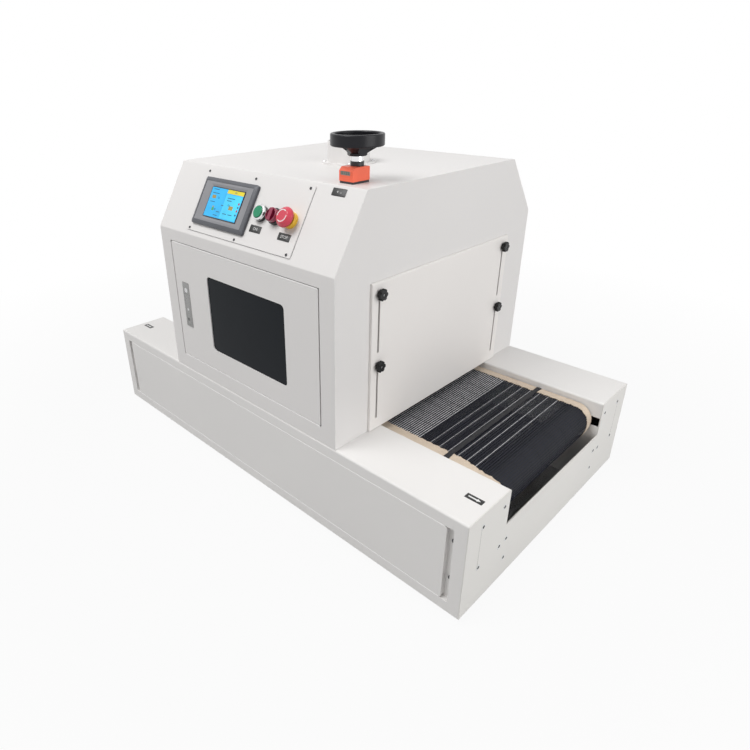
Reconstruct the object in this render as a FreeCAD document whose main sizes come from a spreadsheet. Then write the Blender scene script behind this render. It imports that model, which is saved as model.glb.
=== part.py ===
import FreeCAD, Part
import Sketcher
import os
import re
from FreeCAD import Placement, Rotation, Vector

doc = FreeCAD.newDocument("conveyor_oven")

# Driving dimensions in millimetres. Heights named "above the base" start at the base's lower edge.
sizes = [
    ("foot_height", "12", "rubber foot under the base"),
    ("foot_radius", "22", "foot at its top"),
    ("foot_taper", "4", "foot narrows by this towards the floor"),
    ("foot_round", "2", "rounding of the foot's lower rim"),
    ("foot_inset_x", "75", "foot centre from the base's end"),
    ("foot_inset_y", "60", "foot centre from the base's front or back"),
    ("base_length", "1040", "base, along the belt"),
    ("base_width", "600", "base, front to back"),
    ("base_height", "191", "base, lower edge to deck"),
    ("deck_width", "121", "each side cabinet, front to back"),
    ("sheet_gauge", "2", "steel sheet"),
    ("bend_radius", "4", "outside radius of a sheet bend"),
    ("sill_height", "118", "low edge of the end plate's cut-out, above the base"),
    ("access_end", "24", "access opening from the base's end"),
    ("access_low", "20", "access opening's low edge, above the base"),
    ("access_high", "169", "access opening's high edge, above the base"),
    ("access_round", "3", "corner radius of the access opening"),
    ("panel_side_gap", "13", "access panel to opening, at each end"),
    ("panel_edge_gap", "2", "access panel to opening, above and below"),
    ("strip_lap", "8", "landing strip under the panel"),
    ("access_depth", "8", "landing strips behind the skirt"),
    ("vent_length", "70", "floor vent slot"),
    ("vent_width", "6", "floor vent slot"),
    ("vent_pitch", "16", "floor vent slots"),
    ("vent_count", "8", "floor vent slots"),
    ("belt_height", "178", "belt's top face, above the base"),
    ("belt_side_gap", "7", "belt's edging to the trough's wall"),
    ("edge_width", "17", "sewn edging on each side of the belt"),
    ("belt_gauge", "1.2", "mesh thickness"),
    ("edge_gauge", "1.5", "edging thickness"),
    ("roller_radius", "29.5", "end rollers"),
    ("roller_inset", "47.5", "roller axis from the base's end"),
    ("roller_round", "2", "rounding of a roller's rim"),
    ("shaft_radius", "8", "roller shafts"),
    ("shaft_gap", "2", "shaft to the hole or slot in the inner wall"),
    ("slot_reach", "20", "take-up slot, inwards from the roller axis"),
    ("running_gap", "0.05", "radial clearance of a turning shaft"),
    ("moving_gap", "0.3", "clearance between pieces that move past each other"),
    ("bed_inset", "156.5", "bed plate's end from the roller axis"),
    ("bed_flange", "25", "bed plate's side flange"),
    ("rod_radius", "2", "belt support rods"),
    ("rod_inset", "132.5", "first support rod from the roller axis"),
    ("rod_pitch", "19.5", "support rods"),
    ("splice_inset", "88.5", "belt splice from the roller axis"),
    ("splice_shy", "1", "belt splice's end from the edging's edge"),
    ("splice_width", "9", "belt splice along the belt"),
    ("splice_rise", "3.1", "belt splice above the belt"),
    ("splice_round", "1.6", "splice's top edges"),
    ("block_size", "48", "roller bearing block, square"),
    ("block_depth", "24", "roller bearing block, along the shaft"),
    ("block_round", "5", "bearing block's corners"),
    ("gearbox_size", "62", "worm gearbox, square"),
    ("gearbox_depth", "54", "worm gearbox, along the shaft"),
    ("motor_drop", "34", "motor axis below the output shaft"),
    ("motor_radius", "31", "motor can"),
    ("motor_length", "150", "motor can"),
    ("supply_length", "215", "power supply"),
    ("supply_width", "92", "power supply"),
    ("supply_height", "50", "power supply"),
    ("supply_place", "-150", "power supply's middle along the base"),
    ("inlet_length", "48", "mains inlet"),
    ("inlet_height", "26", "mains inlet"),
    ("inlet_depth", "22", "mains inlet"),
    ("inlet_wall", "3", "mains inlet's rim"),
    ("inlet_inset", "120", "mains inlet's middle from the base's end"),
    ("inlet_high", "95", "mains inlet's middle, above the base"),
    ("hood_length", "503", "hood, along the belt"),
    ("hood_shift", "-4", "hood's middle from the base's middle"),
    ("hood_setback", "1", "hood's faces behind the base's faces"),
    ("hood_height", "627", "roof, above the base"),
    ("front_shoulder", "505", "front bend, above the base"),
    ("rear_shoulder", "515", "rear bend, above the base"),
    ("front_lean", "73.4", "front slope, front to back"),
    ("rear_lean", "87", "rear slope, front to back"),
    ("hood_flange", "20", "hood's foot flange on the deck"),
    ("tunnel_inset", "14", "tunnel mouth's side from the trough's wall"),
    ("tunnel_rise", "112", "tunnel mouth above the deck"),
    ("tunnel_round", "6", "tunnel mouth's corners"),
    ("shutter_inset", "84", "shutter's side from the hood's face"),
    ("shutter_top", "476", "shutter's top edge, above the base"),
    ("shutter_depth", "5", "shutter pan"),
    ("shutter_rest", "1", "lowered shutter above the deck"),
    ("shutter_travel", "106", "shutter's lift"),
    ("stud_radius", "2", "clamp stud"),
    ("stud_gap", "0.3", "stud to the sides of its slot"),
    ("stud_inset", "18", "studs from the shutter's side"),
    ("stud_high", "455", "upper studs, above the base"),
    ("stud_low", "322", "lower studs, above the base"),
    ("knob_radius", "10.5", "star knob"),
    ("knob_height", "7.5", "star knob's head"),
    ("knob_neck", "2.5", "star knob's neck"),
    ("knob_neck_radius", "6.5", "star knob's neck"),
    ("knob_round", "1.2", "star knob's top edge"),
    ("scallop_radius", "3.4", "hollow between two lobes"),
    ("lobe_count", "6", "star knob"),
    ("stud_shy", "1", "stud's end below the knob's face"),
    ("door_left_inset", "36.2", "door's left edge from the hood's end"),
    ("door_right_inset", "36.8", "door's right edge from the hood's end"),
    ("door_height", "253.5", "door"),
    ("door_low", "225.8", "door's low edge, above the base"),
    ("door_gap", "2.5", "door to its opening"),
    ("door_depth", "15", "door pan"),
    ("door_round", "1.5", "door's corners"),
    ("jamb_depth", "15", "latch jamb behind the hood's face"),
    ("hinge_inset", "20", "hinge axis from the door's edge"),
    ("hinge_back", "9", "hinge axis behind the door's face"),
    ("hinge_pin_radius", "3", "hinge pins"),
    ("hinge_pin_reach", "8", "hinge pin inside the door"),
    ("hinge_width", "34", "hinge tongue"),
    ("hinge_gauge", "4", "hinge tongue"),
    ("hinge_leaf", "20", "hinge leaf on the hood"),
    ("window_width", "229", "window"),
    ("window_height", "159", "window"),
    ("window_shift", "15.3", "window's middle from the door's middle"),
    ("window_low", "44.7", "window's low edge above the door's"),
    ("window_round", "9", "window's corners"),
    ("glass_lap", "9", "glass behind the window's edge"),
    ("glass_gauge", "4", "glass"),
    ("lock_width", "22.5", "lock plate"),
    ("lock_height", "98.6", "lock plate"),
    ("lock_inset", "35", "lock's middle from the door's left edge"),
    ("lock_low", "73.8", "lock plate's low edge above the door's"),
    ("lock_proud", "1", "lock plate in front of the door"),
    ("lock_round", "2.5", "lock plate's corners"),
    ("lock_rim", "2.5", "lock plate beyond its box"),
    ("lock_box_depth", "20", "lock box behind the door's face"),
    ("lever_length", "70", "lock lever's pocket"),
    ("lever_width", "13", "lock lever's pocket"),
    ("lever_gauge", "3", "lock lever"),
    ("lever_foot", "4", "lever pocket above the plate's low edge"),
    ("lever_sink", "17", "lever pocket's depth"),
    ("lever_pin_radius", "1.1", "lever's pivot"),
    ("lever_pin_reach", "2", "lever's pivot, into each side of the plate"),
    ("dimple_radius", "4.6", "finger dimple in the lever"),
    ("dimple_sink", "1.2", "finger dimple in the lever"),
    ("dimple_place", "11.5", "finger dimple above the lever's low end"),
    ("barrel_radius", "5", "key barrel"),
    ("barrel_drop", "17", "key barrel below the plate's top edge"),
    ("key_slot_length", "6", "key slot"),
    ("key_slot_width", "1.2", "key slot"),
    ("key_slot_sink", "4", "key slot"),
    ("cam_reach", "48", "latch cam"),
    ("cam_width", "11", "latch cam"),
    ("cam_gauge", "3", "latch cam"),
    ("cam_gap", "1.5", "latch cam behind the lock box"),
    ("plate_width", "302", "control plate"),
    ("plate_shift", "-5", "control plate's middle from the hood's middle"),
    ("plate_low", "9.5", "control plate's low edge, up the slope"),
    ("plate_high", "135", "control plate's high edge, up the slope"),
    ("plate_round", "2", "control plate's corners"),
    ("plate_lap", "12", "control plate beyond the hood's cut-out, above and below"),
    ("plate_side_lap", "6", "control plate beyond the hood's cut-out, at each end"),
    ("hmi_width", "158", "screen unit's bezel"),
    ("hmi_height", "93", "screen unit's bezel"),
    ("hmi_share", "-0.194", "screen unit from the plate's middle, share of its width"),
    ("control_line", "70.5", "middle of the controls, up the slope"),
    ("hmi_proud", "8", "bezel in front of the control plate"),
    ("hmi_round", "4", "bezel's corners"),
    ("hmi_rim", "5", "bezel beyond the unit's body"),
    ("hmi_body_gap", "0.4", "unit's body to the plate's cut-out"),
    ("hmi_body_depth", "34", "unit's body behind the plate"),
    ("screen_width", "101", "screen"),
    ("screen_height", "60", "screen"),
    ("screen_shift", "2.5", "screen's middle from the bezel's middle"),
    ("screen_sink", "2.4", "screen recess"),
    ("screen_gauge", "1.2", "screen"),
    ("start_share", "0.1603", "start button from the plate's middle, share of its width"),
    ("selector_share", "0.2861", "selector from the plate's middle, share of its width"),
    ("estop_share", "0.4119", "emergency stop from the plate's middle, share of its width"),
    ("bezel_radius", "14.4", "button bezel"),
    ("bezel_height", "11", "start button's bezel"),
    ("bezel_floor", "3", "start button's bezel, floor under the cap"),
    ("bezel_round", "1.2", "button bezel's edge"),
    ("cap_radius", "10.4", "button cap"),
    ("cap_proud", "1.6", "button cap above its bezel"),
    ("cap_gauge", "5.6", "button cap"),
    ("cap_round", "1", "button cap's edge"),
    ("plunger_radius", "5", "button plunger"),
    ("plunger_reach", "22", "button plunger behind its cap"),
    ("barrel_wall", "4.6", "button barrel's wall"),
    ("barrel_reach", "40", "button barrel behind the plate"),
    ("switch_hole", "11", "hole for a button barrel, radius"),
    ("switch_gap", "0.2", "button barrel to its hole"),
    ("selector_base", "7", "selector's bezel"),
    ("selector_radius", "12.3", "selector knob"),
    ("selector_rim", "1.8", "rim around the selector's grip"),
    ("selector_height", "8", "selector knob"),
    ("selector_sink", "4", "hollow around the grip"),
    ("grip_width", "8", "selector's grip"),
    ("grip_proud", "2", "selector's grip above its rim"),
    ("collar_radius", "14.2", "emergency stop's collar"),
    ("collar_height", "9", "emergency stop's collar"),
    ("estop_stem_radius", "8", "emergency stop's stem"),
    ("estop_spigot_radius", "5", "top of the stem, inside the head"),
    ("estop_spigot", "7", "top of the stem, inside the head"),
    ("estop_clear", "4.5", "head above its collar"),
    ("estop_radius", "17.4", "emergency stop's head"),
    ("estop_skirt", "5", "straight side of the head"),
    ("estop_crown", "6", "crown of the head"),
    ("estop_flat_radius", "12.2", "flat top of the head"),
    ("estop_round", "1.8", "head's edges"),
    ("estop_reach", "24", "stem behind the plate"),
    ("screw_inset", "60.1", "lift screw from the hood's right end"),
    ("screw_setback", "115", "lift screw behind the hood's face"),
    ("screw_radius", "6", "lift screw"),
    ("screw_foot", "10", "lift screw's end above the deck"),
    ("sleeve_radius", "10", "bright sleeve under the handwheel"),
    ("sleeve_height", "8", "bright sleeve under the handwheel"),
    ("clamp_radius", "11", "indicator's clamp collar"),
    ("clamp_height", "7", "indicator's clamp collar"),
    ("hollow_radius", "8", "indicator's hollow shaft"),
    ("indicator_base", "3.5", "indicator's base plate"),
    ("indicator_height", "21.5", "indicator's body"),
    ("indicator_width", "30", "indicator's body"),
    ("indicator_front", "26", "indicator's front from the screw"),
    ("indicator_rear", "13.5", "indicator's back from the screw"),
    ("indicator_nose", "16", "height of the indicator's upright nose"),
    ("indicator_lean", "5.5", "indicator's slanted face, front to back"),
    ("indicator_round", "2.2", "indicator's edges"),
    ("spigot_radius", "11.5", "base plate's spigot in the roof"),
    ("spigot_reach", "12", "base plate's spigot below the roof"),
    ("wheel_radius", "43", "handwheel"),
    ("wheel_hub_radius", "16", "handwheel's hub"),
    ("wheel_neck", "4", "handwheel's hub below the web"),
    ("wheel_rim_low", "15", "rim's low edge above the hub's"),
    ("wheel_rim_height", "19", "handwheel's rim"),
    ("wheel_rim_gauge", "6.5", "handwheel's rim"),
    ("wheel_web", "6", "handwheel's web"),
    ("wheel_hub_top", "25", "hub's top above its low end"),
    ("wheel_round", "2.4", "rim's edges"),
    ("wheel_open_inside", "20", "web opening, inner corners from the axis"),
    ("wheel_open_half", "44", "web opening, half its angle in degrees"),
    ("wheel_spokes", "3", "spokes left between the openings"),
    ("rod_guide_radius", "6", "lamp guide rods"),
    ("guide_end_inset", "101.5", "guide rods from the hood's ends"),
    ("guide_roof_inset", "16", "guide rods from the roof's rear bend"),
    ("lamp_height", "300", "lamp's low edge, above the base"),
    ("lamp_depth", "70", "lamp reflector"),
    ("lamp_half_x", "130", "half the reflector, along the belt"),
    ("lamp_half_y", "160", "half the reflector, across the belt"),
    ("lamp_roof", "80", "half the reflector's flat top"),
    ("carriage_gauge", "5", "carriage plate"),
    ("carriage_rim", "14", "carriage plate beyond the guide rods"),
    ("carriage_window", "120", "half the opening in the carriage plate"),
    ("carriage_round", "8", "carriage plate's corners"),
    ("bush_radius", "11", "guide bush"),
    ("bush_height", "30", "guide bush"),
    ("nut_radius", "14", "lift nut"),
    ("tube_radius", "8", "lamp tubes"),
    ("tube_pitch", "70", "lamp tubes"),
    ("tube_drop", "38", "lamp tubes below the reflector's top"),
    ("tube_cap", "22", "ceramic cap of a lamp tube"),
    ("tube_cap_size", "22", "ceramic cap of a lamp tube, square"),
    ("exhaust_shift", "26.7", "exhaust from the hood's middle"),
    ("exhaust_line", "-27.5", "exhaust, front to back"),
    ("exhaust_radius", "41", "exhaust tube"),
    ("exhaust_height", "40", "exhaust tube above the roof"),
    ("exhaust_flange", "53.5", "exhaust flange, radius"),
    ("fan_size", "119", "fan frame, square"),
    ("fan_depth", "38", "fan frame"),
    ("fan_bore", "56", "fan bore, radius"),
    ("fan_corner", "6", "fan frame's corners"),
    ("fan_hub_radius", "20", "fan hub"),
    ("fan_hub_depth", "24", "fan hub"),
    ("fan_tip_gap", "2", "blade tip to the bore"),
    ("fan_strut", "7", "fan motor's struts"),
    ("fan_strut_depth", "5", "fan motor's struts"),
    ("blade_sweep", "10", "half a blade, round the hub"),
    ("blade_rise", "8", "half a blade, along the axis"),
    ("blade_gauge", "2", "blade"),
    ("blade_count", "7", "fan blades"),
]

# Places that follow from the driving dimensions.
places = [
    ("base_end", "base_length / 2"),
    ("base_face", "base_width / 2"),
    ("base_low", "foot_height"),
    ("floor_top", "base_low + sheet_gauge"),
    ("deck_top", "base_low + base_height"),
    ("trough_half", "base_face - deck_width"),
    ("wall_inside", "trough_half + sheet_gauge"),
    ("skirt_inside", "base_face - sheet_gauge"),
    ("cabinet_end", "base_end - sheet_gauge"),
    ("bend_inside", "bend_radius - sheet_gauge"),
    ("access_half", "base_end - access_end"),
    ("panel_half", "access_half - panel_side_gap"),
    ("belt_bore", "roller_radius + moving_gap"),
    ("belt_round", "belt_bore + belt_gauge"),
    ("roller_axis", "base_low + belt_height - belt_round"),
    ("bed_top", "roller_axis + belt_bore - moving_gap"),
    ("edge_half", "trough_half - belt_side_gap"),
    ("belt_half", "edge_half - edge_width"),
    ("edge_top", "roller_axis + belt_bore + edge_gauge"),
    ("roller_place", "base_end - roller_inset"),
    ("bed_end", "roller_place - bed_inset"),
    ("rod_start", "roller_place - rod_inset"),
    ("splice_place", "roller_place - splice_inset"),
    ("inlet_place", "inlet_inset - base_end"),
    ("strip_face", "skirt_inside - access_depth"),
    ("wall_hole", "shaft_radius + shaft_gap"),
    ("block_end", "wall_inside + block_depth"),
    ("gearbox_end", "block_end + gearbox_depth"),
    ("hood_face", "base_face - hood_setback"),
    ("hood_inside", "hood_face - sheet_gauge"),
    ("hood_left", "hood_shift - hood_length / 2"),
    ("hood_right", "hood_shift + hood_length / 2"),
    ("roof_top", "base_low + hood_height"),
    ("roof_inside", "roof_top - sheet_gauge"),
    ("front_bend", "base_low + front_shoulder"),
    ("rear_bend", "base_low + rear_shoulder"),
    ("roof_front", "front_lean - hood_face"),
    ("roof_rear", "hood_face - rear_lean"),
    ("front_pitch", "atan2(hood_height - front_shoulder; front_lean)"),
    ("rear_pitch", "atan2(hood_height - rear_shoulder; rear_lean)"),
    ("front_bend_inside", "front_bend - sheet_gauge * (1 - sin(front_pitch)) / cos(front_pitch)"),
    ("rear_bend_inside", "rear_bend - sheet_gauge * (1 - sin(rear_pitch)) / cos(rear_pitch)"),
    ("roof_front_inside", "roof_front + sheet_gauge * (1 - cos(front_pitch)) / sin(front_pitch)"),
    ("roof_rear_inside", "roof_rear - sheet_gauge * (1 - cos(rear_pitch)) / sin(rear_pitch)"),
    ("foot_flange_edge", "hood_inside - hood_flange"),
    ("foot_flange_top", "deck_top + sheet_gauge"),
    ("tunnel_top", "deck_top + tunnel_rise"),
    ("tunnel_half", "trough_half - tunnel_inset"),
    ("shutter_half", "hood_face - shutter_inset"),
    ("stud_place", "shutter_half - stud_inset"),
    ("shutter_low", "deck_top + shutter_rest"),
    ("shutter_high", "base_low + shutter_top"),
    ("door_left", "hood_left + door_left_inset"),
    ("door_right", "hood_right - door_right_inset"),
    ("door_bottom", "base_low + door_low"),
    ("door_top", "door_bottom + door_height"),
    ("door_skin", "hood_face - sheet_gauge"),
    ("door_back", "hood_face - door_depth"),
    ("hinge_x", "door_right - hinge_inset"),
    ("hinge_y", "hinge_back - hood_face"),
    ("door_middle", "(door_left + door_right) / 2"),
    ("window_left", "door_middle + window_shift - window_width / 2"),
    ("window_right", "door_middle + window_shift + window_width / 2"),
    ("window_bottom", "door_bottom + window_low"),
    ("window_top", "window_bottom + window_height"),
    ("lock_x", "door_left + lock_inset"),
    ("lock_bottom", "door_bottom + lock_low"),
    ("lock_top", "lock_bottom + lock_height"),
    ("lock_face", "hood_face + lock_proud"),
    ("lock_back", "hood_face - lock_box_depth"),
    ("lock_box_half", "lock_width / 2 - lock_rim"),
    ("lever_bottom", "lock_bottom + lever_foot"),
    ("lever_top", "lever_bottom + lever_length"),
    ("lever_axis_y", "lever_gauge / 2 - lock_face"),
    ("lever_axis_z", "lever_bottom + lever_length / 2"),
    ("barrel_z", "lock_top - barrel_drop"),
    ("plate_top", "sheet_gauge"),
    ("bezel_top", "plate_top + bezel_height"),
    ("cap_low", "bezel_top + cap_proud - cap_gauge"),
    ("selector_low", "plate_top + selector_base"),
    ("collar_top", "plate_top + collar_height"),
    ("estop_low", "collar_top + estop_clear"),
    ("hmi_x", "plate_shift + hmi_share * plate_width"),
    ("start_x", "plate_shift + start_share * plate_width"),
    ("selector_x", "plate_shift + selector_share * plate_width"),
    ("estop_x", "plate_shift + estop_share * plate_width"),
    ("screw_x", "hood_right - screw_inset"),
    ("screw_line", "screw_setback - hood_face"),
    ("rod_guide_x", "hood_length / 2 - guide_end_inset"),
    ("rod_guide_y", "roof_rear - guide_roof_inset"),
    ("carriage_half_x", "rod_guide_x + carriage_rim"),
    ("carriage_half_y", "rod_guide_y + carriage_rim"),
    ("nut_x", "screw_x - hood_shift"),
    ("indicator_low", "roof_top + indicator_base"),
    ("indicator_top", "indicator_low + indicator_height"),
    ("clamp_low", "indicator_top + moving_gap"),
    ("clamp_top", "clamp_low + clamp_height"),
    ("wheel_low", "clamp_top + sleeve_height"),
    ("lamp_low", "base_low + lamp_height"),
    ("lamp_top", "lamp_low + lamp_depth"),
    ("carriage_top", "lamp_top + carriage_gauge"),
    ("tube_axis", "lamp_top - tube_drop"),
    ("exhaust_x", "hood_shift + exhaust_shift"),
    ("exhaust_bore", "exhaust_radius - sheet_gauge"),
    ("fan_low", "roof_inside - fan_depth"),
]

support_rods = 6
sheet_of = {}


def fill_sheet(sheet, rows):
    for row, (alias, text, note) in enumerate(rows, start=1):
        sheet.set("A%d" % row, note)
        sheet.set("B%d" % row, text)
        sheet.setAlias("B%d" % row, alias)
        sheet_of[alias] = sheet.Name


def ex(text):
    def qualified(match):
        word = match.group(0)
        return sheet_of[word] + "." + word if word in sheet_of else word
    return re.sub(r"[a-z_]+", qualified, str(text))


def value(text):
    result = dims.evalExpression(ex(text))
    return float(getattr(result, "Value", result))


dims = doc.addObject("Spreadsheet::Sheet", "dims")
fill_sheet(dims, sizes)
lay = doc.addObject("Spreadsheet::Sheet", "lay")
for place, formula in places:
    fill_row = len(sheet_of) - len(sizes) + 1
    lay.set("B%d" % fill_row, "=" + ex(formula))
    lay.setAlias("B%d" % fill_row, place)
    sheet_of[place] = lay.Name
doc.recompute()

nodes = {}


def node(name, shape_object):
    shape_object.Label = name
    nodes[name] = shape_object
    return shape_object


# Sketch loops: a polygon's corner may carry a third entry, the radius of its rounding.
def polygon(sketch, points):
    first = sketch.GeometryCount
    corners = [Vector(value(point[0]), value(point[1]), 0) for point in points]
    count = len(points)
    for i in range(count):
        sketch.addGeometry(Part.LineSegment(corners[i], corners[(i + 1) % count]), False)
    for i in range(count):
        sketch.addConstraint(Sketcher.Constraint("Coincident", first + i, 2, first + (i + 1) % count, 1))
    for i, point in enumerate(points):
        fix_point(sketch, first + i, 1, point[0], point[1])


def fix_point(sketch, geometry, end, x, y):
    for kind, text in (("DistanceX", x), ("DistanceY", y)):
        index = sketch.addConstraint(Sketcher.Constraint(kind, geometry, end, value(text)))
        sketch.setExpression("Constraints[%d]" % index, ex(text))


def circle(sketch, x, y, radius):
    shape = Part.Circle(Vector(value(x), value(y), 0), Vector(0, 0, 1), value(radius))
    index = sketch.addGeometry(shape, False)
    fix_point(sketch, index, 3, x, y)
    bound = sketch.addConstraint(Sketcher.Constraint("Radius", index, value(radius)))
    sketch.setExpression("Constraints[%d]" % bound, ex(radius))


def slot(sketch, start, end, radius):
    a = Vector(value(start[0]), value(start[1]), 0)
    b = Vector(value(end[0]), value(end[1]), 0)
    r = value(radius)
    along = (b - a).normalize()
    side = Vector(-along.y, along.x, 0)
    arc_a = Part.Arc(a + side * r, a - along * r, a - side * r)
    arc_b = Part.Arc(b - side * r, b + along * r, b + side * r)
    low = Part.LineSegment(a - side * r, b - side * r)
    high = Part.LineSegment(b + side * r, a + side * r)
    ga, gl, gb, gh = [sketch.addGeometry(shape, False) for shape in (arc_a, low, arc_b, high)]
    for one, one_end, two, two_end in ((ga, 2, gl, 1), (gl, 2, gb, 1), (gb, 2, gh, 1), (gh, 2, ga, 1)):
        sketch.addConstraint(Sketcher.Constraint("Tangent", one, one_end, two, two_end))
    fix_point(sketch, ga, 3, *start)
    fix_point(sketch, gb, 3, *end)
    bound = sketch.addConstraint(Sketcher.Constraint("Radius", ga, r))
    sketch.setExpression("Constraints[%d]" % bound, ex(radius))


def draw(sketch, loops):
    for kind, *shape in loops:
        {"polygon": polygon, "circle": circle, "slot": slot}[kind](sketch, *shape)


def rectangle(x, y, radius=None):
    corners = [(x[0], y[0]), (x[1], y[0]), (x[1], y[1]), (x[0], y[1])]
    if radius is not None:
        corners = [corner + (radius,) for corner in corners]
    return ("polygon", corners)


def new_body(name):
    return doc.addObject("PartDesign::Body", name)


def new_sketch(body, role, offset, loops):
    plane = next(f for f in body.Origin.OriginFeatures if f.Role == role)
    sketch = body.newObject("Sketcher::SketchObject", body.Name + "_sketch")
    sketch.AttachmentSupport = [(plane, "")]
    sketch.MapMode = "FlatFace"
    sketch.setExpression("AttachmentOffset.Base.z", ex(offset))
    draw(sketch, loops)
    doc.recompute()
    return sketch


# A sketch on XZ faces -Y, so spans along Y are measured from their far side.
def pad(body, role, loops, low, high):
    offset = "-(%s)" % high if role == "XZ_Plane" else low
    sketch = new_sketch(body, role, offset, loops)
    feature = body.newObject("PartDesign::Pad", body.Name + "_pad")
    feature.Profile = sketch
    feature.setExpression("Length", ex("(%s) - (%s)" % (high, low)))
    doc.recompute()
    round_corners(body, sketch, loops)
    return feature


def pocket(body, role, loops, low, high):
    before = body.Shape.Volume
    offset = "-(%s)" % low if role == "XZ_Plane" else high
    sketch = new_sketch(body, role, offset, loops)
    feature = body.newObject("PartDesign::Pocket", body.Name + "_pocket")
    feature.Profile = sketch
    feature.setExpression("Length", ex("(%s) - (%s)" % (high, low)))
    doc.recompute()
    if body.Shape.Volume >= before:
        raise RuntimeError(body.Name + ": a pocket misses the solid")
    round_corners(body, sketch, loops)
    return feature


def revolve(body, loops):
    sketch = new_sketch(body, "XZ_Plane", "0", loops)
    feature = body.newObject("PartDesign::Revolution", body.Name + "_turned")
    feature.Profile = sketch
    feature.ReferenceAxis = (sketch, ["V_Axis"])
    feature.Angle = 360
    doc.recompute()
    round_corners(body, sketch, loops)
    return feature


def polar(body, feature, count):
    axis = next(f for f in body.Origin.OriginFeatures if f.Role == "Z_Axis")
    pattern = body.newObject("PartDesign::PolarPattern", body.Name + "_polar")
    pattern.Originals = [feature]
    pattern.Axis = (axis, [""])
    pattern.Angle = 360
    pattern.setExpression("Occurrences", ex(count))
    body.Tip = pattern
    doc.recompute()


def row_pattern(body, feature, role, pitch, count):
    axis = next(f for f in body.Origin.OriginFeatures if f.Role == role)
    pattern = body.newObject("PartDesign::LinearPattern", body.Name + "_row")
    pattern.Originals = [feature]
    pattern.Direction = (axis, [""])
    pattern.setExpression("Length", ex("%s * (%s - 1)" % (pitch, count)))
    pattern.setExpression("Occurrences", ex(count))
    body.Tip = pattern
    doc.recompute()


def round_corners(body, sketch, loops):
    groups = {}
    for kind, *shape in loops:
        if kind == "polygon":
            for point in shape[0]:
                if len(point) == 3:
                    corner = Vector(value(point[0]), value(point[1]), 0)
                    groups.setdefault(point[2], []).append(sketch.Placement.multVec(corner))
    for radius, corners in groups.items():
        base = body.Tip
        names = ["Edge%d" % (i + 1) for i, edge in enumerate(base.Shape.Edges)
                 if any(starts_at(edge, corner, sketch) for corner in corners)]
        fillet = body.newObject("PartDesign::Fillet", body.Name + "_round")
        fillet.Base = (base, names)
        fillet.setExpression("Radius", ex(radius))
        doc.recompute()


# An edge belongs to a sketch corner if it runs from it square to the sketch, or circles through it.
def starts_at(edge, corner, sketch):
    ends = [vertex.Point for vertex in edge.Vertexes]
    if isinstance(edge.Curve, Part.Circle):
        return len(ends) == 1 and ends[0].distanceToPoint(corner) < 1e-4
    normal = sketch.Placement.Rotation.multVec(Vector(0, 0, 1))
    return len(ends) == 2 and all((end - corner).cross(normal).Length < 1e-4 for end in ends)


def place(shape_object, x="0", y="0", z="0", axis=(1, 0, 0), angle="0"):
    shape_object.Placement = Placement(Vector(), Rotation(Vector(*axis), max(value(angle), 1e-3)))
    for name, text in (("x", x), ("y", y), ("z", z)):
        shape_object.setExpression("Placement.Base." + name, ex(text))
    shape_object.setExpression("Placement.Rotation.Angle", ex(angle))
    doc.recompute()
    return shape_object


def on_slope(shape_object, x="hood_shift"):
    return place(shape_object, x, "-hood_face", "front_bend", (1, 0, 0), "front_pitch")


def along_y(shape_object, x, y, z):
    return place(shape_object, x, y, z, (-1, 0, 0), "90")


def along_x(shape_object, x, y, z, side):
    return place(shape_object, x, y, z, (0, side, 0), "90")


def box(name, x, y, z):
    solid = doc.addObject("Part::Box", name)
    for size, span in (("Length", x), ("Width", y), ("Height", z)):
        solid.setExpression(size, ex("(%s) - (%s)" % (span[1], span[0])))
    return place(solid, x[0], y[0], z[0])


def cylinder(name, radius, height):
    solid = doc.addObject("Part::Cylinder", name)
    solid.setExpression("Radius", ex(radius))
    solid.setExpression("Height", ex(height))
    return solid


def cut(name, base, tool):
    result = doc.addObject("Part::Cut", name)
    result.Base = base
    result.Tool = tool
    doc.recompute()
    return result


def fuse(name, one, two):
    result = doc.addObject("Part::Fuse", name)
    result.Base = one
    result.Tool = two
    doc.recompute()
    return result


def group(name, members):
    result = doc.addObject("Part::Compound", name)
    result.Links = members
    doc.recompute()
    return node(name, result)


# Base: floor, two side cabinets, two end plates and their access panels
def base_floor_pan():
    body = new_body("base_floor_pan")
    floor = rectangle(("-cabinet_end", "cabinet_end"), ("-skirt_inside", "skirt_inside"))
    pad(body, "XY_Plane", [floor], "base_low", "floor_top")
    first = "-vent_pitch * (vent_count - 1) / 2"
    vent = ("slot", (first, "-vent_length / 2"), (first, "vent_length / 2"), "vent_width / 2")
    slots = pocket(body, "XY_Plane", [vent], "base_low", "floor_top")
    row_pattern(body, slots, "X_Axis", "vent_pitch", "vent_count")
    node("base_floor_pan", body)


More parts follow.
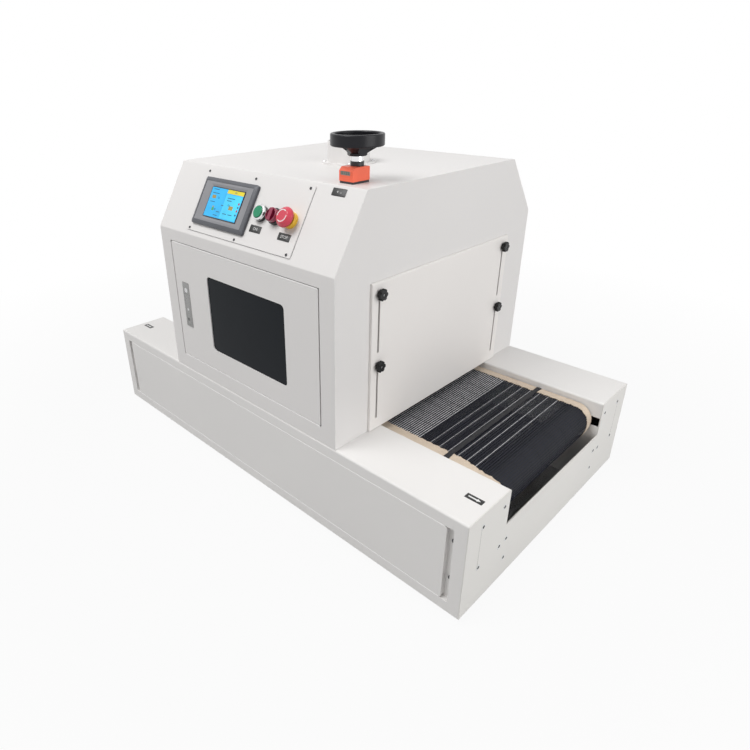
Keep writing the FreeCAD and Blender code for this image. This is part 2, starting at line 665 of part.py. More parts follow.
def side_cabinet(name, side):
    def y(text):
        return "%d * (%s)" % (side, text)

    def span(low, high):
        return (y(low), y(high)) if side > 0 else (y(high), y(low))

    body = new_body("cabinet_sheet")
    section = [
        (y("base_face"), "base_low"),
        (y("base_face"), "deck_top", "bend_radius"),
        (y("trough_half"), "deck_top", "bend_radius"),
        (y("trough_half"), "floor_top"),
        (y("wall_inside"), "floor_top"),
        (y("wall_inside"), "deck_top - sheet_gauge", "bend_inside"),
        (y("skirt_inside"), "deck_top - sheet_gauge", "bend_inside"),
        (y("skirt_inside"), "base_low"),
    ]
    pad(body, "YZ_Plane", [("polygon", section)], "-cabinet_end", "cabinet_end")
    opening = (("-access_half", "access_half"), ("base_low + access_low", "base_low + access_high"))
    pocket(body, "XZ_Plane", [rectangle(*opening, "access_round")], *span("skirt_inside", "base_face"))
    wall = span("trough_half", "wall_inside")
    take_up = rectangle(("roller_place - slot_reach", "cabinet_end"),
                        ("roller_axis - wall_hole", "roller_axis + wall_hole"))
    pocket(body, "XZ_Plane", [take_up], *wall)
    pocket(body, "XZ_Plane", [("circle", "-roller_place", "roller_axis", "wall_hole")], *wall)
    height = ("base_low + access_low - sheet_gauge", "base_low + access_high + sheet_gauge")
    reveal = rectangle(("-access_half - sheet_gauge", "access_half + sheet_gauge"), height)
    frame = new_body("access_frame")
    pad(frame, "XZ_Plane", [reveal, rectangle(*opening)], *span("strip_face", "skirt_inside"))
    right = rectangle(("panel_half - strip_lap", "access_half + sheet_gauge"), height)
    left = rectangle(("-access_half - sheet_gauge", "strip_lap - panel_half"), height)
    pad(frame, "XZ_Plane", [right, left], *span("strip_face - sheet_gauge", "strip_face"))
    group(name, [body, frame])


def access_panel(name, side):
    body = new_body(name)
    low, high = ("skirt_inside", "base_face") if side > 0 else ("-base_face", "-skirt_inside")
    bottom, top = "base_low + access_low + panel_edge_gap", "base_low + access_high - panel_edge_gap"
    outline = rectangle(("-panel_half", "panel_half"), (bottom, top), "access_round")
    pad(body, "XZ_Plane", [outline], *(("strip_face", high) if side > 0 else (low, "-strip_face")))
    hollow = rectangle(("sheet_gauge - panel_half", "panel_half - sheet_gauge"),
                       (bottom + " + sheet_gauge", top + " - sheet_gauge"))
    pocket(body, "XZ_Plane", [hollow], *(("strip_face", low) if side > 0 else (high, "-strip_face")))
    if side > 0:
        hole = rectangle(("inlet_place - inlet_length / 2", "inlet_place + inlet_length / 2"),
                         ("base_low + inlet_high - inlet_height / 2",
                          "base_low + inlet_high + inlet_height / 2"))
        pocket(body, "XZ_Plane", [hole], low, high)
    node(name, body)


def end_plate(name, low, high):
    body = new_body(name)
    outline = [
        ("-base_face", "base_low"),
        ("base_face", "base_low"),
        ("base_face", "deck_top", "bend_radius"),
        ("trough_half", "deck_top", "bend_radius"),
        ("trough_half", "base_low + sill_height"),
        ("-trough_half", "base_low + sill_height"),
        ("-trough_half", "deck_top", "bend_radius"),
        ("-base_face", "deck_top", "bend_radius"),
    ]
    pad(body, "YZ_Plane", [("polygon", outline)], low, high)
    node(name, body)


def rubber_feet():
    feet = []
    for side_x in (-1, 1):
        for side_y in (-1, 1):
            body = new_body("rubber_foot")
            revolve(body, [("polygon", [
                ("0", "0"),
                ("foot_radius - foot_taper", "0", "foot_round"),
                ("foot_radius", "foot_height"),
                ("0", "foot_height"),
            ])])
            feet.append(place(body, "%d * (base_end - foot_inset_x)" % side_x,
                              "%d * (base_face - foot_inset_y)" % side_y))
    group("rubber_feet", feet)


# Conveyor: bed, support rods, belt, rollers, bearings and drive
def belt_bed_plate():
    body = new_body("belt_bed_plate")
    section = [
        ("-trough_half", "bed_top - bed_flange"),
        ("-trough_half", "bed_top", "bend_radius"),
        ("trough_half", "bed_top", "bend_radius"),
        ("trough_half", "bed_top - bed_flange"),
        ("trough_half - sheet_gauge", "bed_top - bed_flange"),
        ("trough_half - sheet_gauge", "bed_top - sheet_gauge", "bend_inside"),
        ("sheet_gauge - trough_half", "bed_top - sheet_gauge", "bend_inside"),
        ("sheet_gauge - trough_half", "bed_top - bed_flange"),
    ]
    pad(body, "YZ_Plane", [("polygon", section)], "-bed_end", "bed_end")
    node("belt_bed_plate", body)


def belt_support_rods():
    rods = []
    for side in (-1, 1):
        for i in range(support_rods):
            rod = cylinder("belt_support_rod", "rod_radius", "2 * trough_half")
            x = "%d * (rod_start + %d * rod_pitch)" % (side, i)
            rods.append(along_y(rod, x, "-trough_half", "bed_top - rod_radius"))
    group("belt_support_rods", rods)


def loop_band(body, gauge, low, high):
    left, right = ("-roller_place", "roller_axis"), ("roller_place", "roller_axis")
    outside = ("slot", left, right, "belt_bore + " + gauge)
    inside = ("slot", left, right, "belt_bore")
    pad(body, "XZ_Plane", [outside, inside], low, high)
    return body


def conveyor_belt():
    node("belt_mesh", loop_band(new_body("belt_mesh"), "belt_gauge", "-belt_half", "belt_half"))
    front = loop_band(new_body("belt_edge"), "edge_gauge", "-edge_half", "-belt_half")
    rear = loop_band(new_body("belt_edge"), "edge_gauge", "belt_half", "edge_half")
    group("belt_edge_strips", [front, rear])
    splice = new_body("belt_splice")
    low, high = "splice_place - splice_width / 2", "splice_place + splice_width / 2"
    pad(splice, "XZ_Plane", [("polygon", [
        (low, "edge_top"),
        (high, "edge_top"),
        (high, "edge_top + splice_rise", "splice_round"),
        (low, "edge_top + splice_rise", "splice_round"),
    ])], "splice_shy - edge_half", "edge_half - splice_shy")
    node("belt_splice", splice)


def roller(name, x, rear_end):
    body = new_body(name)
    front_end = "-block_end"
    revolve(body, [("polygon", [
        ("0", front_end),
        ("shaft_radius", front_end),
        ("shaft_radius", "-edge_half"),
        ("roller_radius", "-edge_half", "roller_round"),
        ("roller_radius", "edge_half", "roller_round"),
        ("shaft_radius", "edge_half"),
        ("shaft_radius", rear_end),
        ("0", rear_end),
    ])])
    node(name, along_y(body, x, "0", "roller_axis"))


def bearing_block(x, low, high):
    body = new_body("roller_bearing_block")
    half = "block_size / 2"
    outline = rectangle(("%s - %s" % (x, half), "%s + %s" % (x, half)),
                        ("roller_axis - " + half, "roller_axis + " + half), "block_round")
    bore = ("circle", x, "roller_axis", "shaft_radius + running_gap")
    pad(body, "XZ_Plane", [outline, bore], low, high)
    return body


def roller_bearing_blocks():
    blocks = []
    for x in ("-roller_place", "roller_place"):
        blocks.append(bearing_block(x, "-block_end", "-wall_inside"))
        blocks.append(bearing_block(x, "wall_inside", "block_end"))
    group("roller_bearing_blocks", blocks)


def gear_motor():
    body = new_body("gear_motor")
    half = "gearbox_size / 2"
    outline = rectangle(("-roller_place - " + half, "%s - roller_place" % half),
                        ("roller_axis - motor_drop - " + half, "roller_axis + " + half), "block_round")
    bore = ("circle", "-roller_place", "roller_axis", "shaft_radius + running_gap")
    pad(body, "XZ_Plane", [outline, bore], "block_end", "gearbox_end")
    can = ("circle", "(block_end + gearbox_end) / 2", "roller_axis - motor_drop", "motor_radius")
    start = "%s - roller_place" % half
    pad(body, "YZ_Plane", [can], start, start + " + motor_length")
    node("gear_motor", body)


def power_supply():
    body = new_body("power_supply")
    far = "-wall_inside - (deck_width - supply_width) / 2"
    outline = rectangle(("supply_place - supply_length / 2", "supply_place + supply_length / 2"),
                        ("%s - supply_width" % far, far))
    pad(body, "XY_Plane", [outline], "floor_top", "floor_top + supply_height")
    first = "supply_place - vent_pitch * (vent_count - 1) / 2"
    middle = "%s - supply_width / 2" % far
    vent = ("slot", (first, "%s - supply_width / 4" % middle), (first, "%s + supply_width / 4" % middle),
            "vent_width / 2")
    top = "floor_top + supply_height"
    slots = pocket(body, "XY_Plane", [vent], top + " - sheet_gauge", top)
    row_pattern(body, slots, "X_Axis", "vent_pitch", "vent_count")
    node("power_supply", body)


def power_inlet():
    body = new_body("power_inlet")
    x, z, half = "inlet_place", "base_low + inlet_high", ("inlet_length / 2", "inlet_height / 2")
    outline = rectangle(("%s - %s" % (x, half[0]), "%s + %s" % (x, half[0])),
                        ("%s - %s" % (z, half[1]), "%s + %s" % (z, half[1])))
    pad(body, "XZ_Plane", [outline], "base_face - inlet_depth", "base_face")
    well = rectangle(("%s - %s + inlet_wall" % (x, half[0]), "%s + %s - inlet_wall" % (x, half[0])),
                     ("%s - %s + inlet_wall" % (z, half[1]), "%s + %s - inlet_wall" % (z, half[1])),
                     "inlet_wall")
    pocket(body, "XZ_Plane", [well], "base_face - inlet_depth + inlet_wall", "base_face")
    node("power_inlet", body)


# Hood: one folded sheet over two side plates
hood_outside = [
    ("-hood_face", "front_bend", "bend_radius"),
    ("roof_front", "roof_top", "bend_radius"),
    ("roof_rear", "roof_top", "bend_radius"),
    ("hood_face", "rear_bend", "bend_radius"),
]
hood_hollow = [
    ("hood_inside", "foot_flange_top", "bend_inside"),
    ("hood_inside", "rear_bend_inside", "bend_inside"),
    ("roof_rear_inside", "roof_inside", "bend_inside"),
    ("roof_front_inside", "roof_inside", "bend_inside"),
    ("-hood_inside", "front_bend_inside", "bend_inside"),
    ("-hood_inside", "foot_flange_top", "bend_inside"),
]


def hood_wrap():
    body = new_body("hood_wrap")
    rear_foot = [("hood_face", "deck_top"), ("foot_flange_edge", "deck_top"),
                 ("foot_flange_edge", "foot_flange_top")]
    front_foot = [("-foot_flange_edge", "foot_flange_top"), ("-foot_flange_edge", "deck_top"),
                  ("-hood_face", "deck_top")]
    section = hood_outside + rear_foot + hood_hollow + front_foot
    pad(body, "YZ_Plane", [("polygon", section)], "hood_left", "hood_right")
    opening_x = ("door_left - door_gap", "door_right + door_gap")
    opening_z = ("door_bottom - door_gap", "door_top + door_gap")
    pocket(body, "XZ_Plane", [rectangle(opening_x, opening_z)], "-hood_face", "-hood_inside")
    jamb = rectangle(("door_left - door_gap - sheet_gauge", "door_left - door_gap"), opening_z)
    pad(body, "XZ_Plane", [jamb], "-hood_inside", "jamb_depth - hood_inside")
    vents = [("circle", "exhaust_x", "exhaust_line", "exhaust_bore"),
             ("circle", "screw_x", "screw_line", "spigot_radius")]
    pocket(body, "XY_Plane", vents, "roof_inside", "roof_top")
    window = box("control_cutout",
                 ("plate_shift - plate_width / 2 + plate_side_lap",
                  "plate_shift + plate_width / 2 - plate_side_lap"),
                 ("plate_low + plate_lap", "plate_high - plate_lap"), ("-2 * sheet_gauge", "sheet_gauge"))
    slope = doc.addObject("Part::Compound", "control_cutout_on_slope")
    slope.Links = [window]
    on_slope(slope)
    node("hood_wrap", cut("hood_wrap_cut", body, slope))


def hood_side(name, low, high):
    body = new_body(name)
    mouth = [
        ("foot_flange_edge", "foot_flange_top"),
        ("foot_flange_edge", "deck_top"),
        ("tunnel_half", "deck_top"),
        ("tunnel_half", "tunnel_top", "tunnel_round"),
        ("-tunnel_half", "tunnel_top", "tunnel_round"),
        ("-tunnel_half", "deck_top"),
        ("-foot_flange_edge", "deck_top"),
        ("-foot_flange_edge", "foot_flange_top"),
    ]
    pad(body, "YZ_Plane", [("polygon", mouth + hood_hollow[::-1])], low, high)
    node(name, body)


def hood_sides():
    hood_side("hood_right_side", "hood_right - sheet_gauge", "hood_right")
    hood_side("hood_left_side", "hood_left", "hood_left + sheet_gauge")


# Shutters: folded pans that slide on clamp studs with star knobs
stud_rows = {"front": "-stud_place", "rear": "stud_place"}
stud_heights = {"upper": "base_low + stud_high", "lower": "base_low + stud_low"}
shutter_sides = {"right": (1, "hood_right"), "left": (-1, "hood_left")}


def shutter(name, side, face):
    body = new_body(name)
    inner, outer = "%s + %d * moving_gap" % (face, side), "%s + %d * shutter_depth" % (face, side)
    skin = "%s - %d * sheet_gauge" % (outer, side)
    hollow = (inner, skin) if side > 0 else (skin, inner)
    section = [(inner, "shutter_low"), (outer, "shutter_low"), (outer, "shutter_high", "bend_radius"),
               (inner, "shutter_high")]
    pad(body, "XZ_Plane", [("polygon", section)], "-shutter_half", "shutter_half")
    inside = rectangle(("sheet_gauge - shutter_half", "shutter_half - sheet_gauge"),
                       ("shutter_low + sheet_gauge", "shutter_high - sheet_gauge"))
    pocket(body, "YZ_Plane", [inside], *hollow)
    slots = [("slot", (y, z + " - shutter_travel"), (y, z), "stud_radius + stud_gap")
             for y in stud_rows.values() for z in stud_heights.values()]
    pocket(body, "YZ_Plane", slots, *((skin, outer) if side > 0 else (outer, skin)))
    node(name, body)


def star_knob(name, side, face, y, z):
    body = new_body(name)
    top = "knob_neck + knob_height"
    bore = "stud_radius + running_gap"
    revolve(body, [("polygon", [
        (bore, "0"),
        ("knob_neck_radius", "0"),
        ("knob_neck_radius", "knob_neck"),
        ("knob_radius", "knob_neck", "knob_round"),
        ("knob_radius", top, "knob_round"),
        (bore, top),
    ])])
    hollow = ("circle", "knob_radius + scallop_radius / 4", "0", "scallop_radius")
    scallop = pocket(body, "XY_Plane", [hollow], "knob_neck", top)
    polar(body, scallop, "lobe_count")
    seat = "%s + %d * (shutter_depth + moving_gap)" % (face, side)
    node(name, along_x(body, seat, y, z, side))


def shutters():
    studs = []
    length = "shutter_depth + moving_gap + knob_neck + knob_height - stud_shy"
    for side_name, (side, face) in shutter_sides.items():
        shutter("shutter_" + side_name, side, face)
        for row, y in stud_rows.items():
            for level, z in stud_heights.items():
                stud = cylinder("shutter_stud", "stud_radius", length)
                studs.append(along_x(stud, face, y, z, side))
                star_knob("knob_%s_%s_%s" % (side_name, row, level), side, face, y, z)
    group("shutter_studs", studs)


# Door: folded pan, glass, concealed hinges and flush lock
def door_panel():
    body = new_body("door_panel")
    outline = rectangle(("door_left", "door_right"), ("door_bottom", "door_top"), "door_round")
    pad(body, "XZ_Plane", [outline], "-hood_face", "-door_back")
    hollow = rectangle(("door_left + sheet_gauge", "door_right - sheet_gauge"),
                       ("door_bottom + sheet_gauge", "door_top - sheet_gauge"))
    pocket(body, "XZ_Plane", [hollow], "-door_skin", "-door_back")
    window = rectangle(("window_left", "window_right"), ("window_bottom", "window_top"), "window_round")
    lock = rectangle(("lock_x - lock_box_half", "lock_x + lock_box_half"),
                     ("lock_bottom + lock_rim", "lock_top - lock_rim"))
    pocket(body, "XZ_Plane", [window, lock], "-hood_face", "-door_skin")
    pins = [("circle", "hinge_x", "hinge_y", "hinge_pin_radius + running_gap")]
    pocket(body, "XY_Plane", pins, "door_bottom", "door_top")
    node("door_panel", body)


def door_window():
    body = new_body("door_window")
    glass = rectangle(("window_left - glass_lap", "window_right + glass_lap"),
                      ("window_bottom - glass_lap", "window_top + glass_lap"), "window_round")
    pad(body, "XZ_Plane", [glass], "-door_skin", "glass_gauge - door_skin")
    node("door_window", body)


def door_hinge(name, low, high, pin_low, pin_length, leaf):
    x = ("hinge_x - hinge_width / 2", "hinge_x + hinge_width / 2")
    tongue = box(name + "_tongue", x, ("-hood_inside", "hinge_y + 2 * hinge_pin_radius"), (low, high))
    plate = box(name + "_leaf", x, ("-hood_inside", "hinge_gauge - hood_inside"), leaf)
    pin = place(cylinder(name + "_pin", "hinge_pin_radius", pin_length), "hinge_x", "hinge_y", pin_low)
    return fuse(name, fuse(name + "_angle", tongue, plate), pin)


def door_hinge_brackets():
    top = "door_top + door_gap"
    upper = door_hinge("door_hinge_upper", top, top + " + hinge_gauge", "door_top - hinge_pin_reach",
                       "hinge_pin_reach + door_gap + hinge_gauge", (top, top + " + hinge_leaf"))
    low = "door_bottom - door_gap"
    lower = door_hinge("door_hinge_lower", low + " - hinge_gauge", low, low + " - hinge_gauge",
                       "hinge_pin_reach + door_gap + hinge_gauge",
                       (low + " - hinge_gauge - sheet_gauge", low))
    group("door_hinge_brackets", [upper, lower])


def lock_plate():
    body = new_body("lock_plate")
    face = rectangle(("lock_x - lock_width / 2", "lock_x + lock_width / 2"), ("lock_bottom", "lock_top"),
                     "lock_round")
    pad(body, "XZ_Plane", [face], "-lock_face", "-hood_face")
    case = rectangle(("lock_x - lock_box_half", "lock_x + lock_box_half"),
                     ("lock_bottom + lock_rim", "lock_top - lock_rim"))
    pad(body, "XZ_Plane", [case], "-hood_face", "-lock_back")
    lever = rectangle(("lock_x - lever_width / 2", "lock_x + lever_width / 2"), ("lever_bottom", "lever_top"))
    pocket(body, "XZ_Plane", [lever], "-lock_face", "lever_sink - lock_face")
    barrel = ("circle", "lock_x", "barrel_z", "barrel_radius + running_gap")
    pocket(body, "XZ_Plane", [barrel], "-lock_face", "-lock_back")
    pivot = ("circle", "lever_axis_y", "lever_axis_z", "lever_pin_radius + running_gap")
    half = "lever_width / 2 + lever_pin_reach + moving_gap"
    pocket(body, "YZ_Plane", [pivot], "lock_x - (%s)" % half, "lock_x + " + half)
    node("lock_plate", body)


def lock_lever():
    body = new_body("lock_lever")
    half = "lever_width / 2 - moving_gap"
    paddle = rectangle(("lock_x - (%s)" % half, "lock_x + " + half),
                       ("lever_bottom + 2 * moving_gap", "lever_top - 2 * moving_gap"))
    pad(body, "XZ_Plane", [paddle], "-lock_face", "lever_gauge - lock_face")
    reach = "lever_width / 2 + lever_pin_reach"
    pin = ("circle", "lever_axis_y", "lever_axis_z", "lever_pin_radius")
    pad(body, "YZ_Plane", [pin], "lock_x - (%s)" % reach, "lock_x + " + reach)
    dimple = ("circle", "lock_x", "lever_bottom + dimple_place", "dimple_radius")
    pocket(body, "XZ_Plane", [dimple], "-lock_face", "dimple_sink - lock_face")
    node("lock_lever", body)


def lock_cylinder():
    body = new_body("lock_cylinder")
    cam_low = "cam_gap - lock_back"
    cam_high = cam_low + " + cam_gauge"
    barrel = ("circle", "lock_x", "barrel_z", "barrel_radius")
    pad(body, "XZ_Plane", [barrel], "-lock_face", cam_low)
    cam = ("slot", ("lock_x", "barrel_z - cam_reach"), ("lock_x", "barrel_z"), "cam_width / 2")
    pad(body, "XZ_Plane", [cam], cam_low, cam_high)
    key = rectangle(("lock_x - key_slot_width / 2", "lock_x + key_slot_width / 2"),
                    ("barrel_z - key_slot_length / 2", "barrel_z + key_slot_length / 2"))
    pocket(body, "XZ_Plane", [key], "-lock_face", "key_slot_sink - lock_face")
    node("lock_cylinder", body)


# Controls, modelled flat and then laid on the front slope
def control_plate():
    body = new_body("control_plate")
    x = ("plate_shift - plate_width / 2", "plate_shift + plate_width / 2")
    pad(body, "XY_Plane", [rectangle(x, ("plate_low", "plate_high"), "plate_round")], "0", "plate_top")
    half = ("hmi_width / 2 - hmi_rim + hmi_body_gap", "hmi_height / 2 - hmi_rim + hmi_body_gap")
    screen = rectangle(("hmi_x - (%s)" % half[0], "hmi_x + " + half[0]),
                       ("control_line - (%s)" % half[1], "control_line + " + half[1]))
    holes = [("circle", at, "control_line", "switch_hole") for at in ("start_x", "selector_x", "estop_x")]
    pocket(body, "XY_Plane", [screen] + holes, "0", "plate_top")
    node("control_plate", on_slope(body))


def hmi_housing():
    body = new_body("hmi_housing")
    top = "plate_top + hmi_proud"
    half = ("hmi_width / 2", "hmi_height / 2")
    bezel = rectangle(("hmi_x - " + half[0], "hmi_x + " + half[0]),
                      ("control_line - " + half[1], "control_line + " + half[1]), "hmi_round")
    pad(body, "XY_Plane", [bezel], "plate_top", top)
    rear = rectangle(("hmi_x - %s + hmi_rim" % half[0], "hmi_x + %s - hmi_rim" % half[0]),
                     ("control_line - %s + hmi_rim" % half[1], "control_line + %s - hmi_rim" % half[1]))
    pad(body, "XY_Plane", [rear], "-hmi_body_depth", "plate_top")
    pocket(body, "XY_Plane", [screen_outline("0", "screen_sink")], top + " - screen_sink", top)
    node("hmi_housing", on_slope(body))


def screen_outline(shy, radius):
    x, y = "hmi_x + screen_shift", "control_line"
    wide, high = "screen_width / 2 - " + shy, "screen_height / 2 - " + shy
    return rectangle(("%s - (%s)" % (x, wide), "%s + %s" % (x, wide)),
                     ("%s - (%s)" % (y, high), "%s + %s" % (y, high)), radius)


def hmi_screen():
    body = new_body("hmi_screen")
    low = "plate_top + hmi_proud - screen_sink"
    pad(body, "XY_Plane", [screen_outline("moving_gap", "screen_sink")], low, low + " + screen_gauge")
    node("hmi_screen", on_slope(body))


def switch_bezel(name, x, top, floor, hole):
    body = new_body(name)
    inside = "switch_hole - switch_gap - barrel_wall"
    revolve(body, [("polygon", [
        (inside, "-plunger_reach"),
        (inside, floor),
        (hole, floor),
        (hole, top),
        ("bezel_radius", top, "bezel_round"),
        ("bezel_radius", "plate_top"),
        ("switch_hole - switch_gap", "plate_top"),
        ("switch_hole - switch_gap", "-barrel_reach"),
        ("0", "-barrel_reach"),
        ("0", "-plunger_reach"),
    ])])
    return slope_turned(body, x)


def button_bezels():
    start = switch_bezel("start_bezel", "start_x", "bezel_top", "plate_top + bezel_floor",
                         "cap_radius + moving_gap")
    selector = switch_bezel("selector_bezel", "selector_x", "selector_low", "selector_low - selector_rim",
                            "cap_radius")
    group("button_bezels", [start, selector])


def slope_turned(body, x):
    return place(body, "hood_shift + " + x, "-hood_face + control_line * cos(front_pitch)",
                 "front_bend + control_line * sin(front_pitch)", (1, 0, 0), "front_pitch")


def start_button():
    body = new_body("start_button")
    top = "cap_low + cap_gauge"
    revolve(body, [("polygon", [
        ("0", "cap_low - plunger_reach"),
        ("plunger_radius", "cap_low - plunger_reach"),
        ("plunger_radius", "cap_low"),
        ("cap_radius", "cap_low"),
        ("cap_radius", top, "cap_round"),
        ("0", top),
    ])])
    node("start_button", slope_turned(body, "start_x"))


def selector_knob():
    body = new_body("selector_knob")
    low = "selector_low + moving_gap"
    top = low + " + selector_height"
    revolve(body, [("polygon", [
        ("0", "selector_low - plunger_reach"),
        ("plunger_radius", "selector_low - plunger_reach"),
        ("plunger_radius", low),
        ("selector_radius", low),
        ("selector_radius", top, "cap_round"),
        ("0", top),
    ])])
    hollow = "(selector_radius - selector_rim)"
    pocket(body, "XY_Plane", [("circle", "0", "0", hollow)], top + " - selector_sink", top)
    grip = rectangle(("-grip_width / 2", "grip_width / 2"), ("-" + hollow, hollow))
    pad(body, "XY_Plane", [grip], top + " - selector_sink", top + " + grip_proud")
    node("selector_knob", slope_turned(body, "selector_x"))


def emergency_stop():
    collar = new_body("estop_collar")
    bore = "estop_stem_radius + running_gap"
    revolve(collar, [("polygon", [
        (bore, "-barrel_reach"),
        (bore, "collar_top"),
        ("collar_radius", "collar_top", "bezel_round"),
        ("collar_radius", "plate_top"),
        ("switch_hole - switch_gap", "plate_top"),
        ("switch_hole - switch_gap", "-barrel_reach"),
    ])])
    node("estop_collar", slope_turned(collar, "estop_x"))
    stem = new_body("estop_stem")
    revolve(stem, [("polygon", [
        ("0", "-estop_reach"),
        ("estop_stem_radius", "-estop_reach"),
        ("estop_stem_radius", "estop_low - moving_gap"),
        ("estop_spigot_radius", "estop_low - moving_gap"),
        ("estop_spigot_radius", "estop_low + estop_spigot"),
        ("0", "estop_low + estop_spigot"),
    ])])
    node("estop_stem", slope_turned(stem, "estop_x"))
    head = new_body("estop_head")
    socket = "estop_spigot_radius + running_gap"
    socket_top = "estop_low + estop_spigot + moving_gap"
    side_top = "estop_low + estop_skirt"
    revolve(head, [("polygon", [
        ("0", socket_top),
        (socket, socket_top),
        (socket, "estop_low"),
        ("estop_radius", "estop_low", "estop_round"),
        ("estop_radius", side_top, "estop_round"),
        ("estop_flat_radius", side_top + " + estop_crown", "estop_round"),
        ("0", side_top + " + estop_crown"),
    ])])
    node("estop_head", slope_turned(head, "estop_x"))


# Lamp lift: handwheel, indicator, screw, guide rods and lamp carriage
def at_screw(body, z="0"):
    return place(body, "screw_x", "screw_line", z)


def handwheel():
    body = new_body("handwheel")
    rim_inside = "wheel_radius - wheel_rim_gauge"
    web_low, web_high = "wheel_rim_low", "wheel_rim_low + wheel_web"
    revolve(body, [("polygon", [
        ("screw_radius", "0"),
        ("wheel_hub_radius", "0", "wheel_round"),
        ("wheel_hub_radius", "wheel_neck"),
        (rim_inside, web_low),
        ("wheel_radius", web_low, "wheel_round"),
        ("wheel_radius", "wheel_rim_low + wheel_rim_height", "wheel_round"),
        (rim_inside, "wheel_rim_low + wheel_rim_height", "wheel_round"),
        (rim_inside, web_high),
        ("wheel_hub_radius", "wheel_neck + 2 * wheel_web"),
        ("wheel_hub_radius", "wheel_hub_top", "wheel_round"),
        ("screw_radius", "wheel_hub_top"),
    ])])
    corners = [("wheel_open_inside", "-wheel_open_half"), (rim_inside, "-wheel_open_half"),
               (rim_inside, "-wheel_open_half / 3"), (rim_inside, "wheel_open_half / 3"),
               (rim_inside, "wheel_open_half"), ("wheel_open_inside", "wheel_open_half")]
    outline = [("(%s) * cos(%s)" % corner, "(%s) * sin(%s)" % corner) for corner in corners]
    opening = pocket(body, "XY_Plane", [("polygon", outline)], "0", "wheel_rim_low + wheel_rim_height")
    polar(body, opening, "wheel_spokes")
    node("handwheel", at_screw(body, "wheel_low"))


def lift_screw():
    body = new_body("lift_screw")
    revolve(body, [("polygon", [
        ("0", "deck_top + screw_foot"),
        ("screw_radius", "deck_top + screw_foot"),
        ("screw_radius", "clamp_top"),
        ("sleeve_radius", "clamp_top"),
        ("sleeve_radius", "wheel_low"),
        ("screw_radius", "wheel_low"),
        ("screw_radius", "wheel_low + wheel_hub_top"),
        ("0", "wheel_low + wheel_hub_top"),
    ])])
    node("lift_screw", at_screw(body))


def indicator_sleeve():
    body = new_body("indicator_sleeve")
    revolve(body, [("polygon", [
        ("screw_radius", "roof_top"),
        ("hollow_radius", "roof_top"),
        ("hollow_radius", "clamp_low"),
        ("clamp_radius", "clamp_low"),
        ("clamp_radius", "clamp_top"),
        ("screw_radius", "clamp_top"),
    ])])
    node("indicator_sleeve", at_screw(body))


def indicator():
    base = new_body("indicator_plate")
    half = "indicator_width / 2"
    bore = "hollow_radius + running_gap"
    footprint = rectangle(("-" + half, half), ("-indicator_front", "indicator_rear"), "indicator_round")
    pad(base, "XY_Plane", [footprint], "roof_top", "indicator_low")
    pad(base, "XY_Plane", [("circle", "0", "0", "spigot_radius")], "roof_top - spigot_reach", "roof_top")
    pocket(base, "XY_Plane", [("circle", "0", "0", bore)], "roof_top - spigot_reach", "indicator_low")
    node("indicator_plate", at_screw(base))
    body = new_body("indicator_body")
    nose = "indicator_low + indicator_nose"
    profile = [
        ("-indicator_front", "indicator_low"),
        ("indicator_rear", "indicator_low"),
        ("indicator_rear", "indicator_top", "indicator_round"),
        ("indicator_lean - indicator_front", "indicator_top", "indicator_round"),
        ("-indicator_front", nose, "indicator_round"),
    ]
    pad(body, "YZ_Plane", [("polygon", profile)], "-" + half, half)
    pocket(body, "XY_Plane", [("circle", "0", "0", bore)], "indicator_low", "indicator_top")
    node("indicator_body", at_screw(body))


def guide_rods():
    rods = []
    for side_x in (-1, 1):
        for side_y in (-1, 1):
            rod = cylinder("guide_rod", "rod_guide_radius", "roof_inside - deck_top")
            rods.append(place(rod, "hood_shift + %d * rod_guide_x" % side_x, "%d * rod_guide_y" % side_y,
                              "deck_top"))
    group("guide_rods", rods)


def lamp_carriage():
    body = new_body("lamp_carriage")
    plate = rectangle(("-carriage_half_x", "nut_x + 2 * nut_radius"),
                      ("-carriage_half_y", "carriage_half_y"), "carriage_round")
    opening = rectangle(("-carriage_window", "carriage_window"), ("-carriage_window", "carriage_window"),
                        "carriage_round")
    pad(body, "XY_Plane", [plate], "lamp_top", "carriage_top")
    pocket(body, "XY_Plane", [opening], "lamp_top", "carriage_top")
    posts = [("%d * rod_guide_x" % i, "%d * rod_guide_y" % j) for i in (-1, 1) for j in (-1, 1)]
    bosses = [("circle", x, y, "bush_radius") for x, y in posts]
    bosses.append(("circle", "nut_x", "screw_line", "nut_radius"))
    pad(body, "XY_Plane", bosses, "carriage_top", "carriage_top + bush_height")
    bores = [("circle", x, y, "rod_guide_radius + running_gap") for x, y in posts]
    bores.append(("circle", "nut_x", "screw_line", "screw_radius + running_gap"))
    pocket(body, "XY_Plane", bores, "lamp_top", "carriage_top + bush_height")
    node("lamp_carriage", place(body, "hood_shift"))


